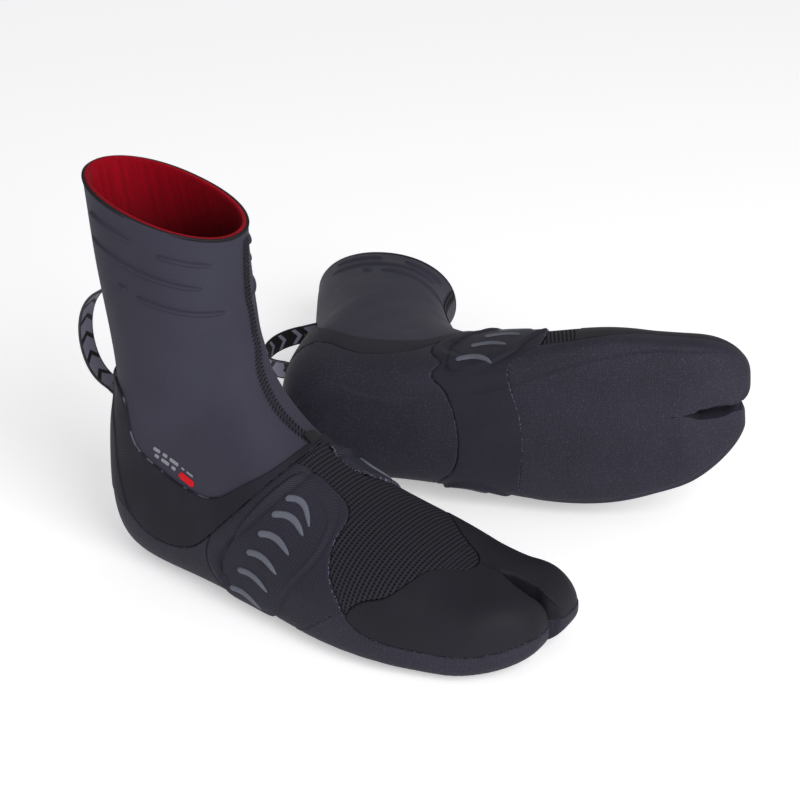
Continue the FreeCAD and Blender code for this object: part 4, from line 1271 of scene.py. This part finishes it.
def add_cuff(boot):
    """Cut black edge of the foam, and the lining's red edge inside it."""
    degrees = np.linspace(-180.0, 180.0, 361)
    profile = [(-0.2, -1.9), (0.15, -1.4), (0.22, -0.7), (0.1, -0.2), (-0.4, 0.05), (-1.1, 0.08),
               (-1.7, -0.1), (-2.1, -0.7)]
    places, tris = strip_mesh(cuff_ring(profile, degrees))
    made = boot.add("cuff_binding", places, tris, "neoprene", np.zeros((len(places), 2)))
    boot.settle(made, "leg", "neoprene", "cuff_binding")
    wave = 0.06 * np.sin(np.radians(degrees) * 110.0)[:, None]
    profile = [(-1.3, -0.5), (-1.5, 0.05), (-2.0, 0.3), (-2.8, 0.3), (-3.4, 0.05), (-3.7, -0.7), (-3.6, -2.5)]
    rows = cuff_ring(profile, degrees)
    rows = rows + boot_normal(CUFF, degrees)[None] * wave
    places, tris = strip_mesh(rows)
    around = lengths_along(rows, 1)
    uv = np.stack([around.ravel(), np.repeat(np.arange(len(profile)) * 0.6, len(degrees))], -1)
    edge = boot.add("leg_lining_edge", places, tris, "red_jersey", uv)
    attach(edge, boot.body("leg"))


def front_seam_x(z):
    """Sideways place of the front seam at a height; it drifts a little, as the leg is cut."""
    line = smooth_line(FRONT_SEAM)
    return np.interp(z, line[:, 0], line[:, 1])


def seam_frame(first, last, front):
    """Evenly spaced places, outward and sideways directions along a seam of the leg."""
    s = np.linspace(first, last, 500)
    low, high = np.full(s.shape, -60.0), np.full(s.shape, 60.0)
    for _ in range(40):
        middle = (low + high) / 2.0
        point = boot_point(s, 180.0 + middle)
        outer = point[:, 0] > front_seam_x(point[:, 2])
        low, high = np.where(outer, middle, low), np.where(outer, high, middle)
    degrees = 180.0 + low if front else np.zeros(s.shape)
    places = boot_point(s, degrees)
    run = path_run(places)
    even = np.arange(0.0, run[-1], 0.25)
    s = np.interp(even, run, s)
    degrees = np.interp(even, run, degrees)
    places = boot_point(s, degrees)
    outward = boot_normal(s, degrees)
    along = np.gradient(places, axis=0)
    aside = np.cross(along, outward)
    aside /= np.linalg.norm(aside, axis=1, keepdims=True)
    return places, outward, aside


def stitches(seam, pitch, start_side, end_side, slant, width=0.62, height=0.5, lift=0.12):
    """Threads that cross a seam from one sideways distance to another, once every pitch."""
    per = 0.25
    number = np.arange(len(seam[0]))
    count = int((len(number) - 12) * per / pitch)
    steps = 9
    t = np.linspace(0.0, 1.0, steps)
    paths, ups = [], []
    for k in range(count):
        at = (k * pitch + slant * t) / per + 2.0
        side = start_side + (end_side - start_side) * t
        base, up, across = [np.stack([np.interp(at, number, column) for column in rows.T], -1)
                            for rows in seam]
        paths.append(base + across * side[:, None] + up * (lift + 0.22 * np.sin(math.pi * t))[:, None])
        ups.append(up)
    return tube_mesh(np.array(paths), np.array(ups), width, height)


def add_seams(boot):
    """Flat-locked front seam in two slanting rows, and a plain back seam."""
    front = seam_frame(3.28, 12.93, True)
    rows = [stitches(front, 2.2, -3.4, -0.5, 1.3, 1.0, 0.8, 0.35),
            stitches(front, 2.2, 0.5, 3.4, 1.3, 1.0, 0.8, 0.35),
            stitches(front, 2.2, -0.8, 0.8, -1.0, 0.5, 0.45, 0.2)]
    places, tris = merged(rows)
    made = boot.add("front_seam", places, tris, "thread", places[:, 1:3])
    boot.settle_ankle(made, "thread", "front_seam")
    back = seam_frame(9.75, 12.93, False)
    places, tris = merged([stitches(back, 1.7, -1.9, 1.9, 0.85), stitches(back, 1.7, 1.9, -1.9, 0.85)])
    made = boot.add("back_seam", places, tris, "thread", places[:, 1:3])
    boot.settle_ankle(made, "thread", "back_seam")


def add_bartack(boot):
    """Dense stitches where the front seam meets the instep."""
    t = np.linspace(-1.0, 1.0, 11)
    paths, ups = [], []
    for k in range(15):
        s = 3.16 + 0.0165 * k
        degrees = 184.0 + 5.2 * t
        s_path = s + 0.004 * t * (1 if k % 2 else -1)
        out = boot_normal(s_path, degrees)
        rise = HEEL_CUP + 0.15 + 0.25 * (1.0 - t**2)
        paths.append(boot_point(s_path, degrees) + out * rise[:, None])
        ups.append(out)
    places, tris = tube_mesh(np.array(paths), np.array(ups), 0.7, 0.6)
    made = boot.add("instep_bartack", places, tris, "thread", places[:, :2])
    boot.settle(made, "foot", "thread", "instep_bartack")


def ring_below_rim(degrees, depth):
    """Ring number at each angle that lies a depth below the cuff's rim."""
    back, front = STATIONS[-1, 2:4], STATIONS[-1, 0:2]
    fall = (back[1] - front[1]) / (front[0] - back[0])
    low, high = np.full(degrees.shape, 10.0), np.full(degrees.shape, CUFF)
    for _ in range(30):
        middle = (low + high) / 2.0
        point = boot_point(middle, degrees)
        under = point[..., 2] < back[1] - fall * (point[..., 1] - back[0]) - depth
        low, high = np.where(under, middle, low), np.where(under, high, middle)
    return low


def add_seal_dashes(boot):
    """Low raised dashes under the cuff."""
    meshes = []
    for side in (1, -1):
        for depth, first, last in SEAL_DASHES:
            t = (0.5 - 0.5 * np.cos(np.linspace(0.0, math.pi, 61)))[:, None]
            c = np.linspace(-1.0, 1.0, 11)[None, :]
            degrees = side * (first + (last - first) * t)
            taper = np.sqrt(np.clip(1.0 - (2.0 * t - 1.0) ** 8, 0.0, 1.0))
            depths, degrees = np.broadcast_arrays(depth - c * taper * SEAL_HALF, degrees)
            s = ring_below_rim(degrees, depths)
            height = -0.25 + 1.7 * np.cos(c * math.pi / 2.0) * taper
            places, tris = strip_mesh(over_surface(s, degrees, height))
            meshes.append((places, facing_out(places, tris, boot_normal(s, degrees).reshape(-1, 3))))
    places, tris = merged(meshes)
    made = boot.add("cuff_seal_ribs", places, tris, "leg_neoprene", places[:, 1:3])
    boot.settle(made, "leg", "leg_neoprene", "cuff_seal_ribs")


def strap_mesh(path, uv_start=0.0):
    """Webbing of constant width along a path in the plane x = 0, with rounded edges."""
    along = np.gradient(path, axis=0)
    along /= np.linalg.norm(along, axis=1, keepdims=True)
    out = np.stack([-along[:, 1], along[:, 0]], -1)
    run = path_run(path) + uv_start
    half, thick = LOOP_WIDTH / 2.0, LOOP_THICK / 2.0
    flat = np.linspace(-half + thick, half - thick, 15)
    turn = np.linspace(-math.pi / 2.0, math.pi / 2.0, 7)[1:-1]
    section = [(x, thick, x + half) for x in flat]
    section += [(half - thick + thick * math.cos(a), -thick * math.sin(a), LOOP_WIDTH) for a in turn]
    section += [(x, -thick, x + half + INNER_FACE) for x in flat[::-1]]
    section += [(-half + thick - thick * math.cos(a), thick * math.sin(a), 0.0) for a in turn]
    section = np.array(section + section[:1])
    rows = np.zeros((len(path), len(section), 3))
    rows[..., 0] = section[None, :, 0]
    rows[..., 1:] = path[:, None] + out[:, None] * section[None, :, 1:2]
    uv = np.stack(np.broadcast_arrays(section[None, :, 2], run[:, None]), -1)
    places, tris = strip_mesh(rows)
    middle = np.zeros(rows.shape)
    middle[..., 1:] = path[:, None]
    return places, facing_out(places, tris, (rows - middle).reshape(-1, 3)), uv.reshape(-1, 2)


def add_loop(boot):
    """Pull loop behind the heel, and the sewn ends that stay on the leg."""
    loop = [(-50, 148.5), (-57, 144), (-64.5, 134), (-68, 118), (-65, 102), (-58, 92.5), (-50, 88.5)]
    places, tris, uv = strap_mesh(smooth_line(loop, per_span=14))
    if boot.side == "left":
        # This strap is sewn on the other way round, so its dark face shows.
        uv[:, 0] += np.where(uv[:, 0] > INNER_FACE - 4.0, -INNER_FACE, INNER_FACE)
    made = boot.add("pull_loop", places, tris, "webbing", uv)
    near, far = [(0, y, LOOP_MIDDLE) for y in LOOP_BENDS]
    boot.settle_between(made, "leg", "loop", near, far, "webbing", "pull_loop")
    ends = [[(-40.5, 154.5), (-44.8, 152.0), (-50, 148.5)], [(-50, 88.5), (-46.0, 86.0), (-39.6, 82.8)]]
    meshes = [strap_mesh(smooth_line(end), start) for end, start in zip(ends, (-6.0, 71.5))]
    places, tris = merged([(p, t) for p, t, _ in meshes])
    uv = np.concatenate([m[2] for m in meshes])
    tacks = boot.add("loop_tacks", places, tris, "webbing", uv)
    boot.settle(tacks, "leg", "webbing", "loop_tacks")


# ---- the pair -------------------------------------------------------------------------------
def add_boot(side, foot, leg, materials):
    boot = Boot(side, materials)
    add_leg_panels(boot, leg)
    add_leg_lining(boot, leg)
    add_cuff(boot)
    add_seams(boot)
    add_seal_dashes(boot)
    add_loop(boot)
    add_heel_cup(boot, foot)
    add_heel_sole(boot, foot)
    add_heel_tape(boot, foot)
    add_arch_band(boot, foot)
    add_ribs(boot, 1, "outer_grip_ribs")
    add_ribs(boot, -1, "inner_grip_ribs")
    add_vamp(boot, foot)
    add_forefoot(boot, foot)
    add_foot_inside(boot, foot)
    add_badge(boot)
    add_bartack(boot)


def make_materials():
    made = {}
    for build in (leg_neoprene, coated_neoprene, band_rubber, sole_rubber, toe_rubber, knit_mesh, neoprene,
                  red_jersey, insole_foam, grey_rubber, tape, thread, webbing):
        made[build.__name__] = build()
    made["print"] = printed("print", (0.22, 0.22, 0.25))
    made["red_print"] = printed("red_print", (0.60, 0.004, 0.010), 0.60, 0.15)
    return made


def make_sheets():
    base = base_surface()
    base["near_foot"] = 128.0 - base["z"]
    foot = part_at(base, "near_foot")
    add_fields(foot)
    base["above_cup"] = above_cup_top(base)
    leg = part_at(base, "above_cup", -6.0)
    leg["seam_side"] = np.where(np.abs(leg["a"]) > 90.0, leg["x"] - front_seam_x(leg["z"]), leg["x"])
    return foot, leg


# ---- stage: places in metres ----------------------------------------------------------------
CAMERA_PLACE = Vector((0.813, 0.6456, 0.6389))
CAMERA_AZIMUTH, CAMERA_ELEVATION = 121.85, 27.92
KEY_PLACE, KEY_TARGET = Vector((0.55, 1.25, 0.95)), Vector((0.0, 0.05, 0.08))


def make_floor():
    """Plain pale floor, wide enough to fill any view."""
    mesh = bpy.data.meshes.new("floor")
    reach = 30.0
    corners = [(-reach, -reach, 0), (reach, -reach, 0), (reach, reach, 0), (-reach, reach, 0)]
    mesh.from_pydata(corners, [], [(0, 1, 2, 3)])
    floor = bpy.data.objects.new("floor", mesh)
    bpy.context.scene.collection.objects.link(floor)
    material = bpy.data.materials.new("floor")
    material.use_nodes = True
    surface = material.node_tree.nodes["Principled BSDF"]
    surface.inputs["Base Color"].default_value = (0.93, 0.93, 0.935, 1.0)
    surface.inputs["Roughness"].default_value = 0.9
    surface.inputs["Specular IOR Level"].default_value = 0.1
    surface.inputs["Emission Color"].default_value = (1.0, 1.0, 1.0, 1.0)
    surface.inputs["Emission Strength"].default_value = 0.38
    mesh.materials.append(material)


def aimed(name, data, place, direction):
    """Light or camera at a place that looks along a direction."""
    made = bpy.data.objects.new(name, data)
    made.location = place
    made.rotation_mode = "QUATERNION"
    made.rotation_quaternion = direction.to_track_quat("-Z", "Y")
    bpy.context.scene.collection.objects.link(made)
    return made


def make_lights():
    """Soft studio light: surroundings that are brighter at eye level, and a large key by the camera."""
    world = bpy.data.worlds.new("studio")
    world.use_nodes = True
    tree = world.node_tree
    place = tree.nodes.new("ShaderNodeTexCoord")
    parts = tree.nodes.new("ShaderNodeSeparateXYZ")
    tree.links.new(place.outputs["Generated"], parts.inputs[0])
    ramp = tree.nodes.new("ShaderNodeMapRange")
    tree.links.new(parts.outputs[2], ramp.inputs["Value"])
    ramp.inputs["To Min"].default_value = 0.72
    ramp.inputs["To Max"].default_value = 0.34
    tree.nodes["Background"].inputs[0].default_value = (0.98, 0.98, 1.0, 1.0)
    tree.links.new(ramp.outputs[0], tree.nodes["Background"].inputs[1])
    bpy.context.scene.world = world
    data = bpy.data.lights.new("key", "AREA")
    data.shape = "DISK"
    data.size = 1.1
    data.energy = 17.0
    aimed("key", data, KEY_PLACE, KEY_TARGET - KEY_PLACE)


def make_camera():
    """The photograph's viewing angle."""
    azimuth, elevation = math.radians(CAMERA_AZIMUTH), math.radians(CAMERA_ELEVATION)
    out = math.cos(elevation)
    back = Vector((math.sin(azimuth) * out, -math.cos(azimuth) * out, math.sin(elevation)))
    data = bpy.data.cameras.new("camera")
    data.lens = 94.8
    data.sensor_width = 36.0
    data.clip_end = 100.0
    bpy.context.scene.camera = aimed("camera", data, CAMERA_PLACE, -back)


def main():
    bpy.context.scene.view_settings.view_transform = "Standard"
    materials = make_materials()
    foot, leg = make_sheets()
    for side in ("right", "left"):
        add_boot(side, foot, leg, materials)
    make_floor()
    make_lights()
    make_camera()


main()
